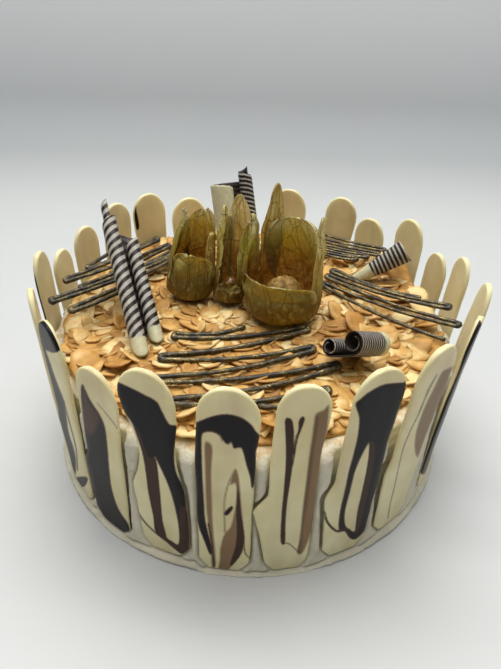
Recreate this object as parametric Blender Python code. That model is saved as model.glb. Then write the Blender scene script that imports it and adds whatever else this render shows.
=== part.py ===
"""Round almond cream cake, walled with marbled chocolate tongues.

The frame is the cake's own: the origin is the middle of its underside, +Z is up and the front,
with tongue_01 to tongue_07, faces -Y. All lengths are in metres.
"""

import math
import random

import bmesh
import bpy
import numpy as np
from mathutils import Matrix, Vector, noise

# Driving dimensions
GAP = 0.0003                 # clearance between pieces that touch
CREAM_RADIUS = 0.1148        # side of the cream-coated cake
CREAM_RIM_RADIUS = 0.1118    # rounded upper edge
CREAM_HEIGHT = 0.078
CREAM_SIDE_HEIGHTS = (0.024, 0.050, 0.070)
FOOT_RADIUS = 0.1222         # cream pressed out under the tongues
LEDGE_DROP = 0.0010          # of the cream under a tongue's foot
TONGUE_BACK = 0.1172         # distance of the tongues' backs from the axis
TONGUE_THICKNESS = 0.0031
HEAP_RADIUS = 0.1105         # almond layer
HEAP_LIP = 0.0016            # height of its outer edge over the cream
HEAP_EDGE_HEIGHT = 0.0842
HEAP_DOME = 0.0035           # the middle stands this much higher than the edge
HEAP_REAR_RISE = 0.0035      # and the rear this much higher than the middle
HEAP_SIDES = 30
HEAP_RINGS = (0.1090, 0.1000, 0.0800, 0.0560, 0.0300)
FLAKE_THICKNESS = 0.0009
STROKE_RADIUS = 0.00115      # piped chocolate line
STROKE_BEND = 0.0019         # radius of the turn between two strokes
SHEET_THICKNESS = 0.0010     # rolled chocolate sheet
HUSK_THICKNESS = 0.0008
HUSK_CLEARANCE = 0.0012      # between a husk and the bare heap
BERRY_LIFT = 0.0040          # of a berry over its husk's lowest point
HUSK_KEEP_OUT = 0.0030       # no flake lies nearer a husk than this

# One row per tongue: azimuth in degrees, tip height, width, outward lean of the tip, roll in
# its own plane in degrees, height of the foot, share of the width lost at the waist, width of
# the pointed lip low on its left, and sideways sway of its tip. Seen from above they run
# counter-clockwise, from the front left.
TONGUES = (
    (-109.8, 0.1200, 0.0275, 0.001, 0.0, 0.0050, 0.32, 0.0020, -0.0025),
    (-94.9, 0.1180, 0.0268, 0.001, -0.6, 0.0010, 0.00, 0.0000, 0.0010),
    (-80.3, 0.1190, 0.0236, 0.001, 0.0, 0.0010, 0.04, 0.0066, 0.0015),
    (-64.9, 0.1220, 0.0268, 0.003, -1.0, 0.0040, 0.03, 0.0040, 0.0010),
    (-50.5, 0.1250, 0.0275, 0.007, 0.5, 0.0060, 0.05, 0.0020, 0.0000),
    (-31.0, 0.1190, 0.0270, 0.006, 0.0, 0.0090, 0.05, 0.0000, 0.0010),
    (-13.0, 0.1190, 0.0270, 0.009, 0.0, 0.0100, 0.04, 0.0020, 0.0000),
    (2.5, 0.1190, 0.0230, 0.004, 1.0, 0.0080, 0.00, 0.0010, 0.0000),
    (15.0, 0.1100, 0.0230, 0.002, 0.0, 0.0060, 0.05, 0.0000, -0.0010),
    (29.0, 0.1210, 0.0270, 0.002, 0.0, 0.0100, 0.10, 0.0030, 0.0010),
    (45.5, 0.1110, 0.0255, 0.002, -1.0, 0.0090, 0.04, 0.0000, 0.0000),
    (59.0, 0.1210, 0.0250, 0.002, 2.0, 0.0050, 0.12, 0.0040, -0.0010),
    (77.0, 0.1210, 0.0270, 0.002, 0.0, 0.0110, 0.05, 0.0000, 0.0010),
    (96.5, 0.1200, 0.0270, 0.002, 1.0, 0.0070, 0.08, 0.0030, 0.0000),
    (114.0, 0.1150, 0.0275, 0.002, 0.0, 0.0100, 0.00, 0.0000, 0.0010),
    (129.0, 0.1230, 0.0270, 0.002, -1.5, 0.0040, 0.10, 0.0050, 0.0000),
    (143.5, 0.1220, 0.0250, 0.002, 1.0, 0.0090, 0.04, 0.0000, -0.0010),
    (157.0, 0.1150, 0.0250, 0.002, 0.0, 0.0120, 0.08, 0.0030, 0.0000),
    (169.5, 0.1100, 0.0225, 0.002, 0.0, 0.0070, 0.00, 0.0000, 0.0010),
    (-177.0, 0.1210, 0.0250, 0.002, -1.0, 0.0100, 0.05, 0.0030, 0.0000),
    (-158.5, 0.1170, 0.0270, 0.002, 0.0, 0.0080, 0.04, 0.0020, 0.0000),
    (-140.5, 0.1190, 0.0285, 0.002, -1.0, 0.0060, 0.06, 0.0030, 0.0000),
    (-125.5, 0.1100, 0.0275, 0.001, -3.0, 0.0030, 0.05, 0.0030, 0.0000),
)
TONGUE_STATIONS = (0.0, 0.045, 0.19, 0.36, 0.55, 0.80)   # share of the length, below the round tip
TONGUE_TIP_STATIONS = (0.45, 0.76, 0.94)                 # share of the round tip
TONGUE_ACROSS = (-0.72, 0.0, 0.72)                       # share of the half width
LIP_SHARE = 0.385                                        # of the length, where the lip points out

# Piped zigzags: turning points in plan, height at the reference x or y, and slope.
ZIGZAGS = {
    "zigzag_front": {
        "turns": ((-0.003, -0.0285), (-0.0400, -0.0395), (0.0290, -0.0300), (-0.0440, -0.0590),
                  (0.0305, -0.0490), (-0.0465, -0.0770), (0.0420, -0.0625), (-0.0350, -0.0920),
                  (0.0350, -0.0820), (0.0030, -0.0935)),
        "sag": 0.0042, "advance": (0.05, -1.0), "height": 0.0905, "slope": (0.0, 0.035),
    },
    "zigzag_left": {
        "turns": ((-0.0880, 0.0640), (-0.1010, 0.0180), (-0.0690, 0.0690), (-0.1085, -0.0010),
                  (-0.0600, 0.0600), (-0.0975, -0.0080), (-0.0560, 0.0490), (-0.1085, -0.0255),
                  (-0.0560, 0.0385), (-0.0960, -0.0330), (-0.0640, 0.0120)),
        "sag": 0.0030, "advance": (0.45, -0.9), "height": 0.0920, "slope": (-0.085, 0.0),
    },
    "zigzag_right": {
        "turns": ((0.1010, -0.0500), (0.0450, 0.0165), (0.1095, -0.0340), (0.0490, 0.0270),
                  (0.1100, -0.0150), (0.0530, 0.0345), (0.1000, -0.0040)),
        "sag": 0.0052, "advance": (0.50, 0.85), "height": 0.0900, "slope": (0.070, 0.0),
    },
    "zigzag_rear": {
        "turns": ((0.0350, 0.1060), (0.0900, 0.0680), (0.0330, 0.0950), (0.0850, 0.0600),
                  (0.0330, 0.0840), (0.0760, 0.0560), (0.0370, 0.0730), (0.0680, 0.0520),
                  (0.0420, 0.0630)),
        "sag": 0.0030, "advance": (-0.35, -0.93), "height": 0.0955, "slope": (0.0, 0.0),
    },
}

# Rolled sheets: middle of the foot, middle of the tip, radii of the left and right barrel
# (0 leaves one out), turns, spin about the axis in degrees, widening towards the tip, extra
# length of the left and right edge at the tip, and whether the foot is cut level.
ROLLS = {
    "roll_left": ((-0.0545, -0.0470, 0.0890), (-0.0785, 0.0100, 0.1350), 0.0044, 0.0044, 1.5,
                  210.0, 1.0, -0.0260, 0.0110, True),
    "roll_front": ((0.0612, -0.0520, 0.0945), (0.0437, -0.0650, 0.1030), 0.0048, 0.0062, 1.5,
                   -149.0, 1.0, 0.0010, -0.0010, False),
    "roll_right": ((0.0715, 0.0340, 0.0905), (0.0970, 0.0345, 0.1085), 0.0, 0.0042, 1.7,
                   200.0, 2.1, 0.0, 0.0, True),
    "roll_rear": ((-0.0080, 0.0560, 0.0900), (-0.0150, 0.0740, 0.1310), 0.0054, 0.0086, 1.3,
                  180.0, 1.0, 0.0170, -0.0010, True),
}

# Husks: base in plan, tilt in degrees and its direction in degrees, radius, berry radius,
# then for each of five lobes: azimuth and half width in degrees, length along the axis, radius
# of its tip, how long it stays wide, and how far its tip turns aside in degrees.
HUSKS = {
    "husk_left": ((-0.0385, 0.0055), 7.0, 25.0, 0.0130, 0.0076,
                  ((-95.0, 50.0, 0.031, 0.0105, 3.5, 0.0), (-10.0, 35.0, 0.042, 0.0075, 3.0, 0.0),
                   (67.0, 42.0, 0.053, 0.0075, 5.0, 0.0), (134.0, 25.0, 0.047, 0.0070, 2.0, 0.0),
                   (187.0, 28.0, 0.053, 0.0045, 1.8, -20.0))),
    "husk_middle": ((-0.0140, -0.0010), 12.0, 75.0, 0.0090, 0.0056,
                    ((-95.0, 35.0, 0.014, 0.0090, 2.0, 0.0), (-30.0, 30.0, 0.049, 0.0075, 2.5, 0.0),
                     (45.0, 45.0, 0.062, 0.0070, 2.2, 30.0), (113.0, 23.0, 0.050, 0.0060, 2.0, 0.0),
                     (183.0, 47.0, 0.056, 0.0060, 3.0, -10.0))),
    "husk_right": ((0.0170, -0.0130), 2.0, 88.0, 0.0210, 0.0095,
                   ((-116.0, 64.0, 0.0275, 0.0205, 3.0, -6.0), (-24.0, 28.0, 0.0595, 0.0170, 1.5, 14.0),
                    (52.0, 48.0, 0.053, 0.0150, 6.0, 20.0), (116.0, 16.0, 0.0715, 0.0160, 1.8, -10.0),
                    (156.0, 24.0, 0.057, 0.0175, 2.0, 0.0))),
}
HUSK_BOWL = 0.42                                      # share of a lobe's length below the splits
HUSK_RIM = 0.55                                       # height of the bowl over its radius
HUSK_FULL = 0.42                                      # the less, the fuller the bowl's foot
HUSK_ROWS = (0.10, 0.24, 0.42, 0.58, 0.74, 0.88, 0.96)
HUSK_FACET = 0.0115                                   # a lobe's half width gets one for this much

# Almond flakes fused to the heap
FLAKE_SEED = 13
FLAKE_SIDES = 7
FLAKE_SIZES = ((0.0118, 40), (0.0102, 50), (0.0085, 45))   # half length and most of that size
FLAKE_TRIES = 5200
FLAKE_CLEARANCE = 0.0013
FLAKE_PROBES = tuple((u, v) for u in (-1.0, -0.5, 0.0, 0.5, 1.0) for v in (-0.9, 0.0, 0.9)
                     if u * u + v * v <= 1.4)
FLAKE_TILT = 0.30            # most pitch and bank, in radians

# Colours, as linear red, green and blue
IVORY = (0.74, 0.69, 0.50)
CREAM = (0.74, 0.70, 0.58)
ALMOND = (0.72, 0.43, 0.17)
GILDED = (0.10, 0.075, 0.035)
ROLL_BROWN = (0.16, 0.10, 0.075)
HUSK_OLIVE = (0.30, 0.22, 0.05)
BERRY_ORANGE = (0.80, 0.33, 0.03)


def clear_scene():
    for obj in list(bpy.data.objects):
        bpy.data.objects.remove(obj, do_unlink=True)


def make_material(name, colour, roughness, metallic=0.0):
    material = bpy.data.materials.new(name)
    material.use_nodes = True
    shader = material.node_tree.nodes["Principled BSDF"]
    shader.inputs["Base Color"].default_value = (*colour, 1.0)
    shader.inputs["Roughness"].default_value = roughness
    shader.inputs["Metallic"].default_value = metallic
    return material


def add_object(name, mesh, material, sharp=40.0):
    """Puts a mesh in the scene as a smooth object with creases over the given angle."""
    obj = bpy.data.objects.new(name, mesh)
    mesh.materials.clear()
    mesh.materials.append(material)
    mesh.shade_smooth()
    mesh.set_sharp_from_angle(angle=math.radians(sharp))
    bpy.context.scene.collection.objects.link(obj)
    return obj


def make_mesh(name, points, faces):
    """Mesh of the points and faces, with its normals turned out."""
    mesh = bpy.data.meshes.new(name)
    mesh.from_pydata([tuple(p) for p in points], [], faces)
    shape = bmesh.new()
    shape.from_mesh(mesh)
    bmesh.ops.recalc_face_normals(shape, faces=shape.faces)
    shape.to_mesh(mesh)
    shape.free()
    return mesh


def loft(name, rings, start=None, end=None):
    """Mesh through closed rings. An end is drawn to a point, or capped where it has none."""
    sides = len(rings[0])
    points = [p for ring in rings for p in ring]
    faces = []
    for row in range(len(rings) - 1):
        for i in range(sides):
            j = (i + 1) % sides
            faces.append((row * sides + i, row * sides + j,
                          (row + 1) * sides + j, (row + 1) * sides + i))
    for apex, first in ((start, 0), (end, (len(rings) - 1) * sides)):
        if apex is None:
            faces.append(tuple(range(first, first + sides)))
            continue
        points.append(apex)
        faces += [(first + i, first + (i + 1) % sides, len(points) - 1) for i in range(sides)]
    return make_mesh(name, points, faces)


def polar(radius, azimuth, z):
    return Vector((radius * math.cos(azimuth), radius * math.sin(azimuth), z))


def smooth_step(low, high, value):
    share = min(1.0, max(0.0, (value - low) / (high - low)))
    return share * share * (3.0 - 2.0 * share)


# Chocolate tongues

def tongue_sides(share, width, length, waist, lip, sway):
    """Left and right edge along a tongue: narrow foot, lip, waist and round tip."""
    tip_start = 1.0 - 0.62 * width / length
    middle = sway * smooth_step(0.62, 0.90, share)
    if share >= tip_start:
        along = (share - tip_start) / (1.0 - tip_start)
        half = 0.5 * width * math.sqrt(max(0.0, 1.0 - along ** 2.2))
        return middle - half, middle + half
    body = 1.0 - 0.05 * (1.0 - share / tip_start) - waist * math.exp(-((share - 0.61) / 0.15) ** 2)
    foot = 0.62 + 0.38 * smooth_step(-0.01, 0.07, share)
    half = 0.5 * width * body * foot
    if share > LIP_SHARE:
        lip *= 1.0 - smooth_step(LIP_SHARE, LIP_SHARE + 0.10, share)
    else:
        lip *= (share / LIP_SHARE) ** 1.5
    return middle - half - lip, middle + half


def tongue_mesh(name, azimuth, tip, width, lean, roll, foot, waist, lip, sway):
    """Flat plate with a soft rim, standing against the cream."""
    length = tip - foot
    tip_start = 1.0 - 0.62 * width / length
    shares = [s / TONGUE_STATIONS[-1] * tip_start for s in TONGUE_STATIONS]
    shares += [tip_start + s * (1.0 - tip_start) for s in TONGUE_TIP_STATIONS]
    out = Vector((math.cos(azimuth), math.sin(azimuth), 0.0))
    across = Vector((-out.y, out.x, 0.0))

    def place(share, sideways, offset):
        height = (share - 0.5) * length
        u = sideways * math.cos(roll) - height * math.sin(roll)
        z = foot + 0.5 * length + height * math.cos(roll) + sideways * math.sin(roll)
        reach = TONGUE_BACK + 0.5 * TONGUE_THICKNESS + offset + lean * share ** 1.6
        return out * reach + across * u + Vector((0.0, 0.0, z))

    rings = []
    for share in shares:
        left, right = tongue_sides(share, width, length, waist, lip, sway)
        middle, half = 0.5 * (left + right), 0.5 * (right - left)
        deep = 0.5 * TONGUE_THICKNESS * (0.62 + 0.38 * smooth_step(0.0, 0.5, share))
        ring = [place(share, left, 0.0)]
        ring += [place(share, middle + v * half, deep) for v in TONGUE_ACROSS]
        ring.append(place(share, right, 0.0))
        ring += [place(share, middle + v * half, -deep) for v in reversed(TONGUE_ACROSS)]
        rings.append(ring)
    return loft(name, rings, end=place(1.0, sway, 0.0))


def build_tongues(material):
    for number, (azimuth, tip, width, lean, roll, *rest) in enumerate(TONGUES, start=1):
        name = f"tongue_{number:02d}"
        mesh = tongue_mesh(name, math.radians(azimuth), tip, width, lean, math.radians(roll), *rest)
        add_object(name, mesh, material)


# Cream-coated cake

def cream_samples():
    """Azimuth and ledge height round the foot: two samples under a tongue, one between."""
    specs = sorted((math.radians(t[0]), t[2], t[5]) for t in TONGUES)
    samples = []
    for number, (azimuth, width, foot) in enumerate(specs):
        aside = 0.43 * width / TONGUE_BACK
        samples.append((azimuth - aside, foot - LEDGE_DROP))
        samples.append((azimuth + aside, foot - LEDGE_DROP))
        following = specs[(number + 1) % len(specs)][0]
        if following < azimuth:
            following += 2.0 * math.pi
        samples.append((0.5 * (azimuth + following), foot + 0.5 * LEDGE_DROP))
    return samples


def cream_mesh(name):
    """The side bulges unevenly, and a ledge at the foot carries the tongues."""
    samples = cream_samples()

    def ring(radius, height, rough=0.0):
        points = []
        for azimuth, ledge in samples:
            z = height(ledge)
            wobble = noise.noise(polar(9.0, azimuth, 110.0 * z))
            points.append(polar(radius + rough * wobble, azimuth, z))
        return points

    rings = [ring(FOOT_RADIUS - 0.0022, lambda ledge: 0.0),
             ring(FOOT_RADIUS, lambda ledge: 0.38 * ledge, 0.0010),
             ring(FOOT_RADIUS - 0.0022, lambda ledge: 0.96 * ledge, 0.0004),
             ring(CREAM_RADIUS + 0.0006, lambda ledge: ledge + 0.0002)]
    rings += [ring(CREAM_RADIUS, lambda ledge, z=z: z, 0.0012) for z in CREAM_SIDE_HEIGHTS]
    rings.append(ring(CREAM_RADIUS - 0.0008, lambda ledge: CREAM_HEIGHT - 0.0022, 0.0010))
    rings.append(ring(CREAM_RIM_RADIUS, lambda ledge: CREAM_HEIGHT))
    return loft(name, rings)


# Piped zigzags

def zigzag_path(spec):
    """Centre line of one zigzag: sagging strokes joined by tight turns, in a slanting plane."""
    turns = [Vector(t) for t in spec["turns"]]
    advance = Vector(spec["advance"]).normalized()
    points = []
    for number in range(len(turns) - 1):
        start, end = turns[number], turns[number + 1]
        stroke = (end - start).normalized()
        begin = start + (advance * STROKE_BEND if number else Vector((0.0, 0.0)))
        last = number == len(turns) - 2
        finish = end - (Vector((0.0, 0.0)) if last else advance * STROKE_BEND)
        for step in range(4):
            share = (0.02, 0.34, 0.67, 0.98)[step]
            bow = spec["sag"] * 4.0 * share * (1.0 - share)
            points.append(begin.lerp(finish, share) + Vector((0.0, -bow)))
        if not last:
            for angle in (-45.0, 0.0, 45.0):
                turn = math.radians(angle)
                points.append(end + advance * (STROKE_BEND * math.sin(turn))
                              + stroke * (STROKE_BEND * math.cos(turn)))
    slope = Vector(spec["slope"])
    return [Vector((p.x, p.y, spec["height"] + slope.dot(p))) for p in points]


def stroke_mesh(name, path, radius, sides=5):
    """Round line along a path that lies nearly flat."""
    rings = []
    for i, point in enumerate(path):
        before, after = path[max(0, i - 1)], path[min(len(path) - 1, i + 1)]
        ahead = (after - before).normalized()
        aside = ahead.cross(Vector((0.0, 0.0, 1.0))).normalized()
        above = aside.cross(ahead)
        rings.append([point + aside * (radius * math.cos(2.0 * math.pi * k / sides))
                      + above * (radius * math.sin(2.0 * math.pi * k / sides))
                      for k in range(sides)])
    return loft(name, rings)


# Rolled chocolate sheets

def scroll_line(left, right, turns, step=math.radians(33.0)):
    """Cross-section of a sheet whose edges are rolled up side by side, and its normals."""
    def half(radius, side):
        points, heading = [Vector((side * (radius + SHEET_THICKNESS), 0.0))], 0.0
        count = int(turns * 2.0 * math.pi / step)
        for number in range(count):
            bend = radius * (1.0 - 0.55 * number / count)
            heading += step
            stride = 2.0 * bend * math.sin(0.5 * step)
            turned = heading - 0.5 * step
            points.append(points[-1] + Vector((side * stride * math.cos(turned),
                                               stride * math.sin(turned))))
        return points

    line = half(right, 1.0)
    middle = Vector((right + SHEET_THICKNESS, right))
    if left:
        line = list(reversed(half(left, -1.0))) + line
        middle = Vector((right - left, 0.5 * (left + right)))
    line = [p - middle for p in line]
    normals = []
    for i in range(len(line)):
        run = (line[min(len(line) - 1, i + 1)] - line[max(0, i - 1)]).normalized()
        normals.append(Vector((-run.y, run.x)))
    return line, normals


def roll_frame(foot, tip, spin):
    axis = (tip - foot).normalized()
    aside = axis.cross(Vector((0.0, 0.0, 1.0))).normalized()
    turned = Matrix.Rotation(math.radians(spin), 3, axis) @ aside
    return axis, turned, axis.cross(turned)


def roll_mesh(name, foot, tip, left, right, turns, spin, widen, left_more, right_more, level):
    """Sheet rolled up and drawn out along its axis, its tip edge cut at a slant."""
    foot, tip = Vector(foot), Vector(tip)
    axis, aside, above = roll_frame(foot, tip, spin)
    length = (tip - foot).length
    line, normals = scroll_line(left, right, turns)
    rings = []
    for i, (p, normal) in enumerate(zip(line, normals)):
        share = i / (len(line) - 1)
        more = left_more + (right_more - left_more) * share
        corners = []
        for scale, reach, side in ((1.0, 0.0, 0.5), (widen, length + more, 0.5),
                                   (widen, length + more, -0.5), (1.0, 0.0, -0.5)):
            flat = p * scale + normal * (side * SHEET_THICKNESS)
            corner = foot + aside * flat.x + above * flat.y
            if level and reach == 0.0:
                reach = (foot.z - corner.z) / axis.z
            corners.append(corner + axis * reach)
        rings.append(corners)
    return loft(name, rings)


# Dried husks and their berries

def husk_point(radius, length, tip_radius, share):
    """Radius and height on a lobe's middle line: a full bowl, then drawn in to the tip."""
    rim = HUSK_RIM * radius
    if share <= HUSK_BOWL:
        angle = 0.5 * math.pi * share / HUSK_BOWL
        return radius * math.sin(angle) ** HUSK_FULL, rim * (1.0 - math.cos(angle))
    along = (share - HUSK_BOWL) / (1.0 - HUSK_BOWL)
    drawn = tip_radius + (radius - tip_radius) * math.cos(0.5 * math.pi * along) ** 0.9
    return drawn, rim + (length - rim) * along


def husk_mesh(name, radius, lobes):
    """Thin papery cup of five lobes, split above the bowl."""
    points, index, faces = [], {}, []

    def vertex(key, point):
        if key not in index:
            index[key] = len(points)
            points.append(point)
        return index[key]

    def lobe_vertex(lobe, row, column, steps):
        azimuth, half_width, length, tip_radius, fullness, skew = lobes[lobe]
        share = HUSK_ROWS[row]
        across = column / steps
        r, z = husk_point(radius, length, tip_radius, share)
        along = max(0.0, (share - HUSK_BOWL) / (1.0 - HUSK_BOWL))
        width = half_width * (1.0 - along ** fullness) ** 0.7
        key = (lobe, row, column)
        if along == 0.0 and abs(column) == steps:
            key = ("seam", row, (lobe + (column > 0)) % len(lobes))
        fold = 0.04 * radius * (1.0 - across * across)
        turn = math.radians(azimuth + skew * along + across * width)
        return vertex(key, polar(r + fold, turn, z))

    bottom = vertex("bottom", Vector((0.0, 0.0, 0.0)))
    for lobe, (azimuth, half_width, length, tip_radius, fullness, skew) in enumerate(lobes):
        r, z = husk_point(radius, length, tip_radius, 1.0)
        tip = vertex(("tip", lobe), polar(r, math.radians(azimuth + skew), z))
        steps = max(1, round(radius * math.radians(half_width) / HUSK_FACET))
        last = len(HUSK_ROWS) - 1
        for column in range(-steps, steps):
            faces.append((bottom, lobe_vertex(lobe, 0, column, steps),
                          lobe_vertex(lobe, 0, column + 1, steps)))
            for row in range(last):
                faces.append((lobe_vertex(lobe, row, column, steps),
                              lobe_vertex(lobe, row, column + 1, steps),
                              lobe_vertex(lobe, row + 1, column + 1, steps),
                              lobe_vertex(lobe, row + 1, column, steps)))
            faces.append((lobe_vertex(lobe, last, column, steps),
                          lobe_vertex(lobe, last, column + 1, steps), tip))
    return make_mesh(name, points, faces)


def husk_placing(mesh, base, tilt, direction):
    """Matrix that tilts a husk and sets its lowest point on the heap."""
    aside = Vector((-math.sin(math.radians(direction)), math.cos(math.radians(direction)), 0.0))
    turn = Matrix.Rotation(math.radians(tilt), 4, aside)
    lowest = min((turn @ v.co).z for v in mesh.vertices)
    floor = max(heap_height(base[0] + dx, base[1] + dy)
                for dx in (-0.008, 0.0, 0.008) for dy in (-0.008, 0.0, 0.008))
    lift = floor + HUSK_CLEARANCE - lowest
    return Matrix.Translation((base[0], base[1], lift)) @ turn


def build_physalis(husk_material, berry_material):
    """Makes each husk with its berry, and returns the husks' points."""
    cloud = []
    for name, (base, tilt, direction, radius, berry, lobes) in HUSKS.items():
        mesh = husk_mesh(name, radius, lobes)
        placing = husk_placing(mesh, base, tilt, direction)
        mesh.transform(placing)
        obj = add_object(name, mesh, husk_material)
        solidify = obj.modifiers.new("Paper", "SOLIDIFY")
        solidify.thickness = HUSK_THICKNESS
        solidify.offset = 0.0
        cloud += [v.co.copy() for v in mesh.vertices]
        shape = bmesh.new()
        bmesh.ops.create_uvsphere(shape, u_segments=10, v_segments=7, radius=berry)
        ball = bpy.data.meshes.new(name.replace("husk", "berry"))
        shape.to_mesh(ball)
        shape.free()
        ball.transform(placing @ Matrix.Translation((0.0, 0.0, berry + BERRY_LIFT)))
        add_object(ball.name, ball, berry_material)
    return cloud


# Almond heap

def heap_height(x, y):
    """Upper surface of the bare heap under the flakes."""
    r = math.hypot(x, y)
    dome = HEAP_DOME * (1.0 - min(1.0, r / HEAP_RADIUS) ** 2)
    rear = HEAP_REAR_RISE * y / HEAP_RADIUS
    bumps = 0.0009 * noise.noise(Vector((x * 90.0, y * 90.0, 0.0)))
    return HEAP_EDGE_HEIGHT + dome + rear + bumps


def heap_mesh(name):
    azimuths = [2.0 * math.pi * k / HEAP_SIDES for k in range(HEAP_SIDES)]
    rings = [[polar(HEAP_RADIUS - 0.001, a, CREAM_HEIGHT + GAP) for a in azimuths]]
    rings.append([polar(HEAP_RADIUS, a, CREAM_HEIGHT + HEAP_LIP) for a in azimuths])
    for r in HEAP_RINGS:
        rings.append([polar(r, a, heap_height(*polar(r, a, 0.0).xy)) for a in azimuths])
    return loft(name, rings, end=Vector((0.0, 0.0, heap_height(0.0, 0.0))))


def flake_points(centre, half_length, half_width, placing, rng):
    """Outline of one almond slice, pointed at one end, with uneven edges."""
    outline = []
    for k in range(FLAKE_SIDES):
        angle = 2.0 * math.pi * (k + 0.3 * rng.random()) / FLAKE_SIDES
        taper = 1.0 - 0.22 * math.cos(angle)
        outline.append((half_length * math.cos(angle), half_width * taper * math.sin(angle)))
    half = 0.5 * FLAKE_THICKNESS
    return [[centre + placing @ Vector((u, v, w)) for u, v in outline] for w in (-half, half)]


def line_clearance(keep_out):
    """Function that tells whether points stay clear of the lines in keep_out."""
    starts = np.array([tuple(a) for a, b, r in keep_out])
    runs = np.array([tuple(b) for a, b, r in keep_out]) - starts
    reach = np.array([r for a, b, r in keep_out]) + FLAKE_CLEARANCE
    squares = np.maximum((runs ** 2).sum(axis=1), 1e-12)

    def is_clear(points):
        spots = np.array([tuple(p) for p in points])
        share = ((spots[:, None] - starts[None]) * runs[None]).sum(axis=2) / squares
        near = starts[None] + np.clip(share, 0.0, 1.0)[..., None] * runs[None]
        return bool((np.linalg.norm(spots[:, None] - near, axis=2) >= reach[None]).all())

    return is_clear


def scatter_flakes(keep_out):
    """Flakes laid over the heap, the largest first, clear of the pieces that lie on it."""
    rng = random.Random(FLAKE_SEED)
    is_clear = line_clearance(keep_out)
    flakes, centres = [], []
    for half_length, most in FLAKE_SIZES:
        made = 0
        for attempt in range(FLAKE_TRIES):
            if made == most:
                break
            radius = (HEAP_RADIUS - 0.004) * math.sqrt(rng.random())
            azimuth = rng.uniform(-math.pi, math.pi)
            size = half_length * rng.uniform(0.88, 1.05)
            wide = size * rng.uniform(0.50, 0.62)
            spot = polar(radius, azimuth, 0.0)
            yaw = rng.uniform(0.0, 2.0 * math.pi)
            pitch = rng.uniform(-FLAKE_TILT, FLAKE_TILT)
            bank = rng.uniform(-FLAKE_TILT, FLAKE_TILT)
            if any((spot - other).length < 0.62 * (size + far) for other, far in centres):
                continue
            placing = (Matrix.Rotation(yaw, 3, "Z") @ Matrix.Rotation(pitch, 3, "Y")
                       @ Matrix.Rotation(bank, 3, "X"))
            centre = spot + Vector((0.0, 0.0, heap_height(spot.x, spot.y)
                                    + rng.uniform(-0.0003, 0.0004)))
            flake = flake_points(centre, size, wide, placing, rng)
            outline = flake[0] + flake[1]
            if max(math.hypot(p.x, p.y) for p in outline) > HEAP_RADIUS + 0.0015:
                continue
            if min(p.z for p in outline) < CREAM_HEIGHT + 2.0 * GAP:
                continue
            if not is_clear([centre + placing @ Vector((u * size, v * wide, 0.0))
                             for u, v in FLAKE_PROBES]):
                continue
            centres.append((spot, size))
            flakes.append(flake)
            made += 1
    return flakes


def drop_scraps(mesh):
    """Removes any flake that the union left loose, keeping the body with the most faces."""
    shape = bmesh.new()
    shape.from_mesh(mesh)
    unseen, largest = set(shape.verts), set()
    while unseen:
        island, edge = set(), [unseen.pop()]
        while edge:
            vertex = edge.pop()
            island.add(vertex)
            beside = {e.other_vert(vertex) for e in vertex.link_edges} & unseen
            unseen -= beside
            edge += beside
        largest = max(largest, island, key=len)
    loose = [v for v in shape.verts if v not in largest]
    bmesh.ops.delete(shape, geom=loose, context="VERTS")
    shape.to_mesh(mesh)
    shape.free()


def build_almonds(material, keep_out):
    """The heap and its flakes, joined into one solid."""
    heap = add_object("almond_topping", heap_mesh("almond_topping"), material)
    pieces = bpy.data.collections.new("Flakes")
    bpy.context.scene.collection.children.link(pieces)
    for number, (under, upper) in enumerate(scatter_flakes(keep_out)):
        mesh = loft(f"flake_{number}", [under, upper])
        pieces.objects.link(bpy.data.objects.new(mesh.name, mesh))
    union = heap.modifiers.new("Flakes", "BOOLEAN")
    union.operation = "UNION"
    union.operand_type = "COLLECTION"
    union.collection = pieces
    bpy.context.view_layer.update()
    graph = bpy.context.evaluated_depsgraph_get()
    joined = bpy.data.meshes.new_from_object(heap.evaluated_get(graph))
    heap.modifiers.clear()
    drop_scraps(joined)
    heap.data = joined
    for obj in list(pieces.objects):
        bpy.data.objects.remove(obj, do_unlink=True)
    bpy.data.collections.remove(pieces)
    joined.shade_flat()


def main():
    clear_scene()
    ivory = make_material("Marbled chocolate", IVORY, 0.38)
    build_tongues(ivory)
    body = cream_mesh("cake_body")
    add_object("cake_body", body, make_material("Cream", CREAM, 0.60))

    keep_out = []
    gilded = make_material("Gilded chocolate", GILDED, 0.42, 0.35)
    for name, spec in ZIGZAGS.items():
        path = zigzag_path(spec)
        add_object(name, stroke_mesh(name, path, STROKE_RADIUS), gilded)
        keep_out += [(a, b, STROKE_RADIUS) for a, b in zip(path, path[1:])]
    striped = make_material("Striped chocolate", ROLL_BROWN, 0.35)
    for name, spec in ROLLS.items():
        add_object(name, roll_mesh(name, *spec), striped, sharp=50.0)
        foot, tip, left, right = spec[:4]
        thick = (left + right) * 1.05 if left else right * 1.3
        keep_out.append((Vector(foot), Vector(tip), thick))
    husks = build_physalis(make_material("Dry husk", HUSK_OLIVE, 0.55),
                           make_material("Berry", BERRY_ORANGE, 0.25))
    keep_out += [(p, p, HUSK_KEEP_OUT) for p in husks]
    build_almonds(make_material("Toasted almond", ALMOND, 0.55), keep_out)


main()
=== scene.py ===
import math
import random

import bmesh
import bpy
import numpy as np
from mathutils import Matrix, Vector, noise


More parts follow.
